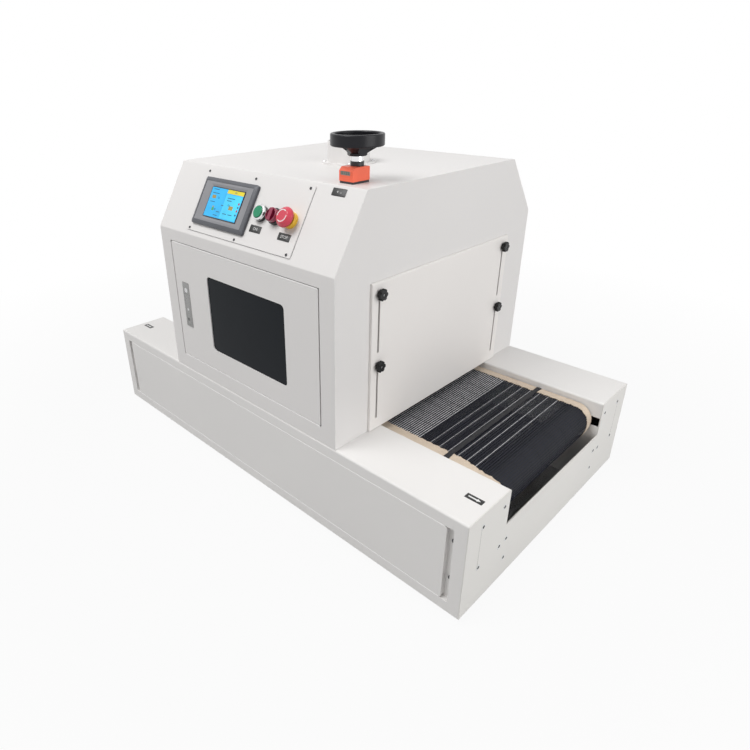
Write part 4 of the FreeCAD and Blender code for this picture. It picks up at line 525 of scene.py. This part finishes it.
def beltTree():
    tree, given, out = newTree("beltWeave", "Geometry", [
        ("Geometry", "Geometry"), ("Weft count", "Int"), ("Warp count", "Int"), ("Half width", "Float"),
        ("Warp pitch", "Float"), ("Weft radius", "Float"), ("Flatten", "Float"), ("Strand", "Float"),
        ("Lift", "Float"), ("Finish", "Material")], geometryOutput)

    def add(kind, links, **values):
        return firstOut(tree, kind, links, **values)

    path = add("GeometryNodeMeshToCurve", {"Mesh": given["Geometry"]})
    points = addNode(tree, "GeometryNodeCurveToPoints", {"Curve": path, "Count": given["Weft count"]},
                     mode="COUNT").outputs
    low = add("Math", {0: given["Half width"], 1: -1.0}, operation="MULTIPLY")
    start = add("CombineXYZ", {"Y": low, "Z": given["Lift"]})
    end = add("CombineXYZ", {"Y": given["Half width"], "Z": given["Lift"]})
    line = add("GeometryNodeCurvePrimitiveLine", {"Start": start, "End": end})
    ring = add("GeometryNodeCurvePrimitiveCircle", {"Resolution": belt["weftSides"],
                                                    "Radius": given["Weft radius"]})
    rod = add("GeometryNodeCurveToMesh", {"Curve": line, "Profile Curve": ring, "Fill Caps": True})
    squash = add("CombineXYZ", {"X": 1.0, "Y": 1.0, "Z": given["Flatten"]})
    flat = add("GeometryNodeTransform", {"Geometry": rod, "Scale": squash})
    turn = add("FunctionNodeAlignRotationToVector", {"Vector": points["Tangent"]}, axis="X", pivot_axis="Y")
    wefts = add("GeometryNodeInstanceOnPoints", {"Points": points[0], "Instance": flat, "Rotation": turn})
    cord = add("GeometryNodeCurvePrimitiveCircle", {"Resolution": belt["strandSides"],
                                                    "Radius": given["Strand"]})
    loop = add("GeometryNodeCurveToMesh", {"Curve": path, "Profile Curve": cord})
    first = add("CombineXYZ", {"Y": low})
    step = add("CombineXYZ", {"Y": given["Warp pitch"]})
    row = add("GeometryNodeMeshLine", {"Count": given["Warp count"], "Start Location": first, "Offset": step})
    warps = add("GeometryNodeInstanceOnPoints", {"Points": row, "Instance": loop})
    both = tree.nodes.new("GeometryNodeJoinGeometry")
    for strands in (wefts, warps):
        tree.links.new(strands, both.inputs[0])
    real = add("GeometryNodeRealizeInstances", {"Geometry": both.outputs[0]})
    paint = add("GeometryNodeSetMaterial", {"Geometry": real, "Material": given["Finish"]})
    tree.links.new(paint, out[0])
    return tree


def makeBelt():
    path = beltPath(belt["radius"])
    first = path[0]
    path = [(first[0] + belt["phase"], first[1])] + path[1:] + [first]
    count = len(path)
    mesh = bpy.data.meshes.new("beltLoop")
    mesh.from_pydata([(x * mm, 0, z * mm) for x, z in path], [(i, (i + 1) % count) for i in range(count)], [])
    length = sum(math.dist(a, b) for a, b in zip(path, path[1:] + path[:1]))
    half = belt["half"] + belt["reach"] / 2  # the weave reaches further under the front tape
    warpCount = int(2 * half / belt["warp"]) + 1
    piece = grown("beltMesh", mesh, beltTree(), {
        "Weft count": round(length / belt["weft"]), "Warp count": warpCount, "Half width": half * mm,
        "Warp pitch": 2 * half / (warpCount - 1) * mm, "Weft radius": belt["weftWidth"] / 2 * mm,
        "Flatten": belt["flat"], "Strand": belt["strand"] / 2 * mm, "Lift": belt["lift"] * mm,
        "Finish": meshStrand})
    piece.data.transform(Matrix.Translation((0, (belt["shift"] - belt["reach"] / 2) * mm, 0)))
    piece.data.shade_smooth()
    piece.data.set_sharp_from_angle(angle=math.radians(belt["sharp"]))
    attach(piece, "oven")
    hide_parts("belt_mesh")


edging = {"thick": 1.5, "bore": 29.8, "overlap": 2.5, "wave": 1.7, "waveStep": 0.09, "trim": 0.5,
          "trimWave": 0.4, "trimStep": 0.07, "steps": 240, "tuck": 11.0, "tuckFrom": 405.0, "sharp": 40,
          "seed": {-1: 11, 1: 7}}
sway = ((0.6, 17, 1), (0.3, 41, 2), (0.25, 97, 5))  # size, pace and phase of each wave in a hand-sewn edge


def wander(t, phase):
    return sum(size * math.sin(pace * t + turn * phase) for size, pace, turn in sway)


def tucked(x, side):  # the front tape is drawn aside at the right roller
    t = min(max((x - edging["tuckFrom"]) / (belt["axisX"] - edging["tuckFrom"]), 0), 1)
    return edging["tuck"] * t * t * (3 - 2 * t) if side < 0 else 0


def makeEdging(name, side):
    e = edging
    phase = random.Random(e["seed"][side]).uniform(0, 6)
    inner = beltPath(e["bore"], e["steps"])
    outer = beltPath(e["bore"] + e["thick"], e["steps"])
    count = len(inner)
    loops, runs, run = [], [], 0.0
    for i, ((xi, zi), (xo, zo)) in enumerate(zip(inner, outer)):
        reach = belt["half"] - e["overlap"] + e["wave"] * wander(i * e["waveStep"], phase) + tucked(xo, side)
        near = belt["shift"] + side * reach
        trim = belt["edge"] - e["trim"] + e["trimWave"] * wander(i * e["trimStep"], phase + 1)
        far = belt["shift"] + side * trim
        loops.append([(xi, near, zi), (xo, near, zo), (xo, far, zo), (xi, far, zi)])
        if i:
            run += math.dist((xo, zo), outer[i - 1])
        runs.append(run)
    mesh = meshFrom(name, *loft(loops, False, False, closed=True), smooth=e["sharp"])
    piece = newObject(name, mesh, edgeTape)
    mesh.materials.append(meshStrand)
    layer = mesh.uv_layers.new(name="tape")
    for face in mesh.polygons:
        face.material_index = 1 if face.index % 4 == 3 else 0  # the underside is dark
        for k in face.loop_indices:
            vertex = mesh.loops[k].vertex_index
            i = vertex // 4
            along = run if i == 0 and face.index // 4 == count - 1 else runs[i]
            layer.data[k].uv = (along * mm * tapeScale, abs(mesh.vertices[vertex].co.y) * tapeScale)
    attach(piece, "oven")
    return piece


splice = {"x": 387.5, "half": 171.0, "width": 9.0, "rise": 2.6, "base": 190.3, "steps": 90, "sides": 10,
          "wave": 0.7, "waves": 3, "phase": 2.0, "tip": 0.45, "taper": 12, "flare": 0.3, "flareTaper": 18,
          "ridge": 0.16, "ridges": 3, "rough": 0.05, "roughWaves": 9, "sharp": 50}


def makeSplice():
    p, loops = splice, []
    for i in range(p["steps"] + 1):
        t = i / p["steps"]
        y = belt["shift"] - p["half"] + 2 * p["half"] * t
        middle = p["x"] + p["wave"] * wander(p["waves"] * t, p["phase"])
        fromEnd = min(t, 1 - t)
        tip = min(1.0, p["taper"] * fromEnd + p["tip"])
        spread = 1 + p["flare"] * max(0.0, 1 - p["flareTaper"] * fromEnd)
        loop = []
        for k in range(p["sides"]):
            a = math.pi * k / (p["sides"] - 1)
            ridge = 1 + p["ridge"] * math.sin(p["ridges"] * a) + p["rough"] * wander(p["roughWaves"] * t, k)
            loop.append((middle + p["width"] / 2 * math.cos(a) * spread, y,
                         p["base"] + p["rise"] * math.sin(a) * ridge * tip))
        loops.append(loop)
    mesh = meshFrom("beltSplice", *loft(loops), smooth=p["sharp"])
    layer = mesh.uv_layers.new(name="tape")
    for loop in mesh.loops:
        co = mesh.vertices[loop.vertex_index].co
        layer.data[loop.index].uv = (co.x * tapeScale, co.y * tapeScale)
    piece = newObject("beltSplice", mesh, seamTape)
    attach(piece, "oven")
    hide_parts("belt_splice")


makeBelt()
frontEdge = makeEdging("beltEdgeFront", -1)
rearEdge = makeEdging("beltEdgeRear", 1)
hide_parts("belt_edge_strips")
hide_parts("belt_edge_strips")
makeSplice()
print("belt laid")


# control panel: screen unit, buttons, labels

# bezel rows: inset, corner radius, height; well rows: growth past the screen, corner radius, height
hmi = {"x": -63.59, "s": 70.5, "wide": 158.0, "high": 93.0, "screenX": -61.09, "screenWide": 101.0,
       "screenHigh": 60.0, "bezelSharp": 28, "wellSharp": 20,
       "bezel": ((10, 2, -34), (10, 2, 2), (0, 4, 2), (0, 4, 6.6), (1.6, 3.6, 7.4), (13, 3, 10),
                 (15, 2.4, 10), (16, 2.2, 9.2)),
       "well": ((9, 2, 9.6), (0, 1, 8))}


def makeHmi():
    rim = [ringLoop(hmi["wide"] - inset, hmi["high"] - inset, r, n, hmi["x"], hmi["s"])
           for inset, r, n in hmi["bezel"]]
    well = [ringLoop(hmi["screenWide"] + grow, hmi["screenHigh"] + grow, r, n, hmi["screenX"], hmi["s"])
            for grow, r, n in hmi["well"]]
    unit = shaped("hmiBezel", loft(rim, True, False), bezelGrey, slopeFrame, hmi["bezelSharp"])
    inner = shaped("hmiFrame", loft(rim[-1:] + well, False, False), frameGrey, slopeFrame, hmi["wellSharp"])
    for piece in (unit, inner):
        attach(piece, "oven")
    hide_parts("hmi_housing")


# places and sizes on the screen are shares of its width and height
screenArt = {
    "n": 8.95, "layer": 0.03, "layers": 3, "lettersOver": 0.14, "haze": 0.18, "hazeScale": 30.0, "glow": 0.36,
    "rough": 0.2,
    "tints": {"back": srgb(38, 170, 226), "panel": srgb(64, 196, 236), "yellow": srgb(214, 196, 40),
              "amber": srgb(150, 130, 60), "dark": srgb(24, 84, 120), "red": srgb(150, 40, 60),
              "green": srgb(60, 150, 90)},
    "blocks": [("back", 0.02, 0.03, 0.96, 0.94), ("panel", 0.50, 0.06, 0.47, 0.76),
               ("yellow", 0.50, 0.85, 0.48, 0.12), ("amber", 0.10, 0.62, 0.11, 0.10),
               ("amber", 0.68, 0.36, 0.12, 0.12), ("green", 0.20, 0.24, 0.06, 0.10),
               ("amber", 0.20, 0.35, 0.06, 0.03), ("red", 0.91, 0.56, 0.04, 0.07),
               ("red", 0.91, 0.34, 0.04, 0.07), ("dark", 0.91, 0.46, 0.04, 0.05),
               ("dark", 0.91, 0.22, 0.04, 0.05)],
    "lineHigh": 0.022,
    "lines": [(0.08, 0.90, 0.16), (0.08, 0.78, 0.20), (0.08, 0.50, 0.15), (0.36, 0.22, 0.10),
              (0.56, 0.70, 0.22), (0.56, 0.62, 0.14), (0.44, 0.44, 0.07), (0.56, 0.20, 0.12),
              (0.72, 0.20, 0.12), (0.30, 0.10, 0.12)],
    "words": [("120", 0.66, 0.49, 5.2), ("3.5", 0.30, 0.66, 5.2), ("ON", 0.745, 0.91, 4.4),
              ("85", 0.30, 0.29, 5.2)],
}


def screenLight():
    mat = bpy.data.materials.new("screenLight")
    mat.use_nodes = True
    tree = mat.node_tree
    shader = tree.nodes["Principled BSDF"]
    tint = addNode(tree, "VertexColor", layer_name="tint").outputs["Color"]
    coords = addNode(tree, "TexCoord").outputs["Object"]
    shade = tinted(tree, tint, noise(tree, coords, screenArt["hazeScale"], "fine"), screenArt["haze"])
    tree.links.new(shade, shader.inputs["Base Color"])
    tree.links.new(shade, shader.inputs["Emission Color"])
    shader.inputs["Emission Strength"].default_value = screenArt["glow"]
    shader.inputs["Roughness"].default_value = screenArt["rough"]
    return mat


def makeScreen():
    art, tints = screenArt, screenArt["tints"]
    wide, high = hmi["screenWide"], hmi["screenHigh"]
    left, low = hmi["screenX"] - wide / 2, hmi["s"] - high / 2
    lines = [("dark", u, v, w, art["lineHigh"]) for u, v, w in art["lines"]]
    parts, shades = [], []
    for i, (tint, u, v, w, h) in enumerate(art["blocks"] + lines):
        x0, y0 = left + u * wide, low + v * high
        x1, y1 = x0 + w * wide, y0 + h * high
        n = art["n"] + art["layer"] * min(i, art["layers"])
        parts.append(([(x0, y0, n), (x1, y0, n), (x1, y1, n), (x0, y1, n)], [(0, 1, 2, 3)]))
        shades.append(tints[tint])
    for words, u, v, size in art["words"]:
        shape = textShape(words, size, left + u * wide, low + v * high, art["n"] + art["lettersOver"])
        parts.append(shape)
        shades += [tints["dark"]] * len(shape[1])
    mesh = meshFrom("screenArt", *joined(parts), slopeFrame, 0, merge=False)
    colours = mesh.color_attributes.new("tint", "FLOAT_COLOR", "CORNER")
    for face, shade in zip(mesh.polygons, shades):
        for k in face.loop_indices:
            colours.data[k].color = shade
    piece = newObject("screenArt", mesh, screenLight())
    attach(piece, "oven")


switches = {
    "start": 43.4, "selector": 81.4, "estop": 119.4, "s": 70.5,
    "startBase": ((10.8, -40), (10.8, 2), (14.4, 2), (14.4, 7.2), (13.9, 7.6), (10.75, 7.6), (10.75, 5)),
    "selectorBase": ((10.8, -40), (10.8, 2), (14.4, 2), (14.4, 8.2), (13.6, 9), (10.4, 9), (10.4, 7.2)),
    "startRing": ((10.75, 7.6), (13.6, 7.6), (14.4, 8.2), (14.4, 11.6), (13.9, 12.6), (12.9, 13),
                  (11.4, 12.9), (10.75, 12.2), (10.75, 7.6)),
}


def makeBezels():
    s = switches["s"]
    base = turned(switches["startBase"], switches["start"], s)
    second = turned(switches["selectorBase"], switches["selector"], s)
    ring = turned(switches["startRing"], switches["start"], s, caps=False)
    bases = shaped("switchBases", joined((base, second)), blackPlastic, slopeFrame)
    chrome = shaped("startRing", ring, brightChrome, slopeFrame)
    for piece in (bases, chrome):
        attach(piece, "oven")
    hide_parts("button_bezels")
    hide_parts("button_bezels")


# arrowhead points: along the arc, out from its middle
estopMarks = {"inner": 9.3, "outer": 10.9, "low": 26.5, "high": 26.61, "arc": 122, "turns": (55, 235),
              "steps": 18, "arrowhead": ((0, -1.5), (0, 1.3), (3.0, 0))}


def makeEstopMarks():
    m, parts = estopMarks, []
    x, s = switches["estop"], switches["s"]
    corners = (("inner", "low"), ("outer", "low"), ("outer", "high"), ("inner", "high"))
    section = [(m[side], m[level]) for side, level in corners]
    middle = (m["inner"] + m["outer"]) / 2
    for turn in m["turns"]:
        angles = [math.radians(turn + m["arc"] * i / m["steps"]) for i in range(m["steps"] + 1)]
        parts.append(loft([[(x + r * math.cos(a), s + r * math.sin(a), n) for r, n in section]
                           for a in angles]))
        c, d = math.cos(angles[-1]), math.sin(angles[-1])
        tip = [(x + (middle + out) * c - along * d, s + (middle + out) * d + along * c)
               for along, out in m["arrowhead"]]
        parts.append(prism(tip, (m["low"], m["high"])))
    piece = shaped("estopArrows", joined(parts), labelWhite, slopeFrame, 0)
    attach(piece, "estop_head")


labels = {"wide": 30.0, "high": 13.0, "corner": 1.0, "cornerSteps": 2, "thick": 0.5, "wall": 0.7,
          "bevel": 0.5, "letters": 7.5, "lettersOver": 0.03,
          "places": ((40.4, 42.0, 2.0, "ON"), (116.4, 41.0, 2.0, "STOP"), (197.4, 131.0, 0.0, "+  -"))}


def labelPlate(size, rows, x, y):  # rows of inset and height
    return loft([ringLoop(size["wide"] - inset, size["high"] - inset, size["corner"], n, x, y,
                          size["cornerSteps"]) for inset, n in rows])


def makeLabels():
    plates, words = [], []
    for x, s, n, text in labels["places"]:
        top = n + labels["thick"]
        rows = ((0, n), (0, n + labels["thick"] * labels["wall"]), (labels["bevel"], top))
        plates.append(labelPlate(labels, rows, x, s))
        words.append(textShape(text, labels["letters"], x, s, top + labels["lettersOver"]))
    plate = shaped("panelLabels", joined(plates), labelBlack, slopeFrame)
    text = shaped("panelWords", joined(words), labelWhite, slopeFrame, 0, merge=False)
    for piece in (plate, text):
        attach(piece, "oven")


arrows = {"wide": 31.0, "high": 12.0, "corner": 0.8, "cornerSteps": 2, "z": 203.0, "thick": 0.4, "bevel": 0.4,
          "y": -241.0, "x": (491.0, -491.5), "under": 0.05, "over": 0.08,
          "outline": ((-11, -1.4), (4, -1.4), (4, -3.2), (11, 0), (4, 3.2), (4, 1.4), (-11, 1.4))}


def makeArrows():
    y, low, top = arrows["y"], arrows["z"], arrows["z"] + arrows["thick"]
    plates, marks = [], []
    for x in arrows["x"]:
        plates.append(labelPlate(arrows, ((0, low), (arrows["bevel"], top)), x, y))
        outline = [(x + px, y + py) for px, py in arrows["outline"]]
        marks.append(prism(outline, (top - arrows["under"], top + arrows["over"])))
    plate = shaped("deckLabels", joined(plates), labelBlack)
    mark = shaped("deckArrows", joined(marks), labelWhite, smooth=0)
    for piece in (plate, mark):
        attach(piece, "oven")


# a thin grey strip just beyond the control plate's edge: a painted contact shadow line
plateShadow = {"x": -5.0, "s": 72.25, "wide": 302.0, "high": 125.5, "line": 0.5, "thick": 0.4, "under": 2.0,
        "innerCorner": 3, "outerCorner": 5}


def makePlateShadow():
    inner, outer = (-2 * plateShadow["under"], plateShadow["innerCorner"]), (2 * plateShadow["line"], plateShadow["outerCorner"])
    rows = ((inner, 0), (outer, 0), (outer, plateShadow["thick"]), (inner, plateShadow["thick"]), (inner, 0))
    ring = loft([ringLoop(plateShadow["wide"] + grow, plateShadow["high"] + grow, r, n, plateShadow["x"], plateShadow["s"])
                 for (grow, r), n in rows], False, False)
    piece = shaped("panelSeal", ring, plateShadowGrey, slopeFrame)
    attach(piece, "oven")


makePlateShadow()
makeHmi()
makeScreen()
makeBezels()
makeEstopMarks()
makeLabels()
makeArrows()
print("controls dressed")


# indicator window, lock rivet, mains inlet pins, seams and folded edges

dial = {"x": 185.9, "y": -210.0, "z": 655.0, "wide": 21.0, "tall": 6.2, "proud": 0.3, "rim": 0.3,
        "corner": 1.0, "innerCorner": 0.8, "cornerSteps": 3, "sink": 0.4, "glassLow": 0.02, "glass": 0.45,
        "digits": "0 1 2 5", "letters": 5.6, "lettersOver": 0.05}


def makeDial():
    place = faceFrame(dial["x"], dial["y"], dial["z"])
    w, t, p, steps = dial["wide"], dial["tall"], dial["proud"], dial["cornerSteps"]
    outer = (w + 2 * dial["rim"], t + 2 * dial["rim"], dial["corner"])
    inner = (w, t, dial["innerCorner"])
    rows = ((outer, 0), (outer, p), (inner, p), (inner, p * dial["sink"]))
    sill = loft([ringLoop(*size, n, steps=steps) for size, n in rows], True, False)
    rim = shaped("dialRim", sill, orangeShell, place)
    top = p * dial["glass"]
    face = shaped("dialFace", slab(-w / 2, -t / 2, w / 2, t / 2, dial["glassLow"], top), digitGrey, place)
    digits = textShape(dial["digits"], dial["letters"], 0, 0, top + dial["lettersOver"])
    number = shaped("dialDigits", digits, labelBlack, place, 0, merge=False)
    for piece in (rim, face, number):
        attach(piece, "oven")


lockRivet = {"x": -184.3, "y": -300.0, "z": 350.6, "steps": 24,
             "rows": ((3.4, -0.4), (3.4, -0.02), (2.38, 0.02))}


def makeLockRivet():
    place = faceFrame(lockRivet["x"], lockRivet["y"], lockRivet["z"])
    piece = shaped("lockRivet", turned(lockRivet["rows"], steps=lockRivet["steps"]), castAlloy, place)
    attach(piece, "lock_lever")


# sections of a pin: out from the socket's floor, half width, half height
inlet = {"x": -400.0, "y": 284.0, "z": 107.0, "pins": ((-9, -3), (9, -3), (0, 4)),
         "sections": ((-4, 1.0, 2.0), (10, 1.0, 2.0), (12, 0.5, 1.4))}


def makeInletPins():
    pins = []
    for dx, dz in inlet["pins"]:
        x, z = inlet["x"] + dx, inlet["z"] + dz
        pins.append(loft([[(x - w, inlet["y"] + out, z - h), (x + w, inlet["y"] + out, z - h),
                           (x + w, inlet["y"] + out, z + h), (x - w, inlet["y"] + out, z + h)]
                          for out, w, h in inlet["sections"]]))
    piece = shaped("inletPins", joined(pins), brightChrome)
    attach(piece, "oven")


endSeams = {"x": 520.0, "y": 261.5, "low": 98.0, "high": 173.0, "line": 0.25, "proud": 0.1}


def makeEndSeams():
    e, lines = endSeams, []
    for sx in (-1, 1):
        for sy in (-1, 1):
            x, y = sx * e["x"], sy * e["y"]
            lines.append(slab(x - e["proud"], y - e["line"], x + e["proud"], y + e["line"],
                              e["low"], e["high"]))
    piece = shaped("endSeams", joined(lines), seamGrey, smooth=0)
    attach(piece, "oven")


# lips on each body: the face they lie behind, height, rise
foldedLips = {"depth": 1.0, "sheet": 1.9, "root": 0.4, "ends": {300: (-480, 480), 299: (-217, 208.5)},
              "oven": ((300, 179, 1.4), (300, 32, 1.4), (-300, 179, 1.4), (-300, 32, 1.4),
                       (-299, 235.3, 1.0)),
              "door": ((-299, 491.3, 0.7),)}


def makeFoldedLips():  # folded edges in the gaps of the panels and the door; their coat is paler than the panels', a painted highlight along the edges
    depth, sheet, root = foldedLips["depth"], foldedLips["sheet"], foldedLips["root"]
    for body in ("oven", "door"):
        lips = []
        for face, z, rise in foldedLips[body]:
            inward = -1 if face > 0 else 1
            profile = ((0, 0), (depth, rise), (sheet, rise), (sheet, -root), (root, -root))
            section = [(face + inward * dy, z + dz) for dy, dz in profile]
            lips.append(loft([[(x, py, pz) for py, pz in section] for x in foldedLips["ends"][abs(face)]]))
        piece = shaped(body + "Lips", joined(lips), lipHighlightCoat, smooth=0)
        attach(piece, body)


makeDial()
makeLockRivet()
makeInletPins()
makeEndSeams()
makeFoldedLips()
for helper in (panHead, flatHead):
    bpy.data.objects.remove(helper)
print("small parts placed")


# stage: floor, world, lamps, camera

stage = {"floor": 6.0, "pale": 0.45, "rough": 0.9, "world": 0.36, "near": 0.75, "far": 1.7, "glow": 0.93}
lamps = {
    "topLamp": {"spot": (0.4, 0.1, 4.6), "target": (0, 0, 0.3), "size": 4.0, "watts": 2.0},
    "keyLamp": {"spot": (-0.5, -1.7, 3.1), "target": (-0.05, -0.2, 0.45), "size": 1.8, "watts": 70.0},
    "sideLamp": {"spot": (1.9, 0.1, 1.0), "target": (0.25, 0, 0.4), "size": 1.4, "watts": 17.0},
}


def seenDirectly(tree):
    light = addNode(tree, "LightPath").outputs
    seen = light["Is Camera Ray"]
    for ray in ("Is Glossy Ray", "Is Transmission Ray"):
        seen = firstOut(tree, "Math", {0: seen, 1: light[ray]}, operation="MAXIMUM")
    return seen


def makeWorld():
    world = bpy.data.worlds.new("studio")
    scene.world = world
    world.use_nodes = True
    tree = world.node_tree
    back = tree.nodes["Background"]
    level = firstOut(tree, "MapRange", {"Value": seenDirectly(tree), "To Min": stage["world"], "To Max": 1.0})
    back.inputs["Color"].default_value = (1, 1, 1, 1)
    tree.links.new(level, back.inputs["Strength"])


def makeFloor():
    s = stage["floor"]
    mesh = bpy.data.meshes.new("floor")
    mesh.from_pydata([(-s, -s, 0), (s, -s, 0), (s, s, 0), (-s, s, 0)], [], [(0, 1, 2, 3)])
    mat = bpy.data.materials.new("floorPale")
    mat.use_nodes = True
    tree = mat.node_tree
    shader = tree.nodes["Principled BSDF"]
    shader.inputs["Base Color"].default_value = (stage["pale"],) * 3 + (1,)
    shader.inputs["Roughness"].default_value = stage["rough"]
    glow = firstOut(tree, "Emission", {"Strength": 1.0})
    coords = addNode(tree, "TexCoord").outputs["Object"]
    away = addNode(tree, "VectorMath", {0: coords}, operation="LENGTH").outputs["Value"]
    level = firstOut(tree, "MapRange", {"Value": away, "From Min": stage["near"], "From Max": stage["far"],
                                        "To Min": stage["glow"], "To Max": 1.0})
    amount = firstOut(tree, "Math", {0: seenDirectly(tree), 1: level}, operation="MULTIPLY")
    mix = firstOut(tree, "MixShader", {0: amount, 1: shader.outputs[0], 2: glow})
    tree.links.new(mix, tree.nodes["Material Output"].inputs["Surface"])
    newObject("floor", mesh, mat)


def makeLamp(name, spot, target, size, watts):
    data = bpy.data.lights.new(name, "AREA")
    data.energy = watts
    data.size = size
    lamp = bpy.data.objects.new(name, data)
    scene.collection.objects.link(lamp)
    lamp.location = spot
    lamp.rotation_euler = (Vector(target) - Vector(spot)).to_track_quat("-Z", "Y").to_euler()


view = {"azimuth": 45.39, "elevation": 25.9, "roll": -0.77, "spot": (0.83655, -0.89882, 0.80053),
        "focal": 581.79, "image": 750, "middle": (326.5, 353.2), "sensor": 36.0, "clip": 0.01}


def makeCamera():
    a, e, r = (math.radians(view[k]) for k in ("azimuth", "elevation", "roll"))
    back = Vector((math.sin(a) * math.cos(e), -math.cos(a) * math.cos(e), math.sin(e)))
    right = (-back).cross(Vector((0, 0, 1))).normalized()
    up = right.cross(-back)
    across = right * math.cos(r) + up * math.sin(r)
    upright = up * math.cos(r) - right * math.sin(r)
    data = bpy.data.cameras.new("camera")
    data.sensor_width = view["sensor"]
    data.sensor_fit = "HORIZONTAL"
    data.lens = view["sensor"] * view["focal"] / view["image"]
    data.shift_x = (view["image"] / 2 - view["middle"][0]) / view["image"]
    data.shift_y = (view["middle"][1] - view["image"] / 2) / view["image"]
    data.clip_start = view["clip"]
    camera = bpy.data.objects.new("camera", data)
    scene.collection.objects.link(camera)
    turn = Matrix((across, upright, back)).transposed().to_4x4()
    camera.matrix_world = Matrix.Translation(view["spot"]) @ turn
    scene.camera = camera


makeWorld()
makeFloor()
for name, lamp in lamps.items():
    makeLamp(name, **lamp)
makeCamera()
print("stage lit")
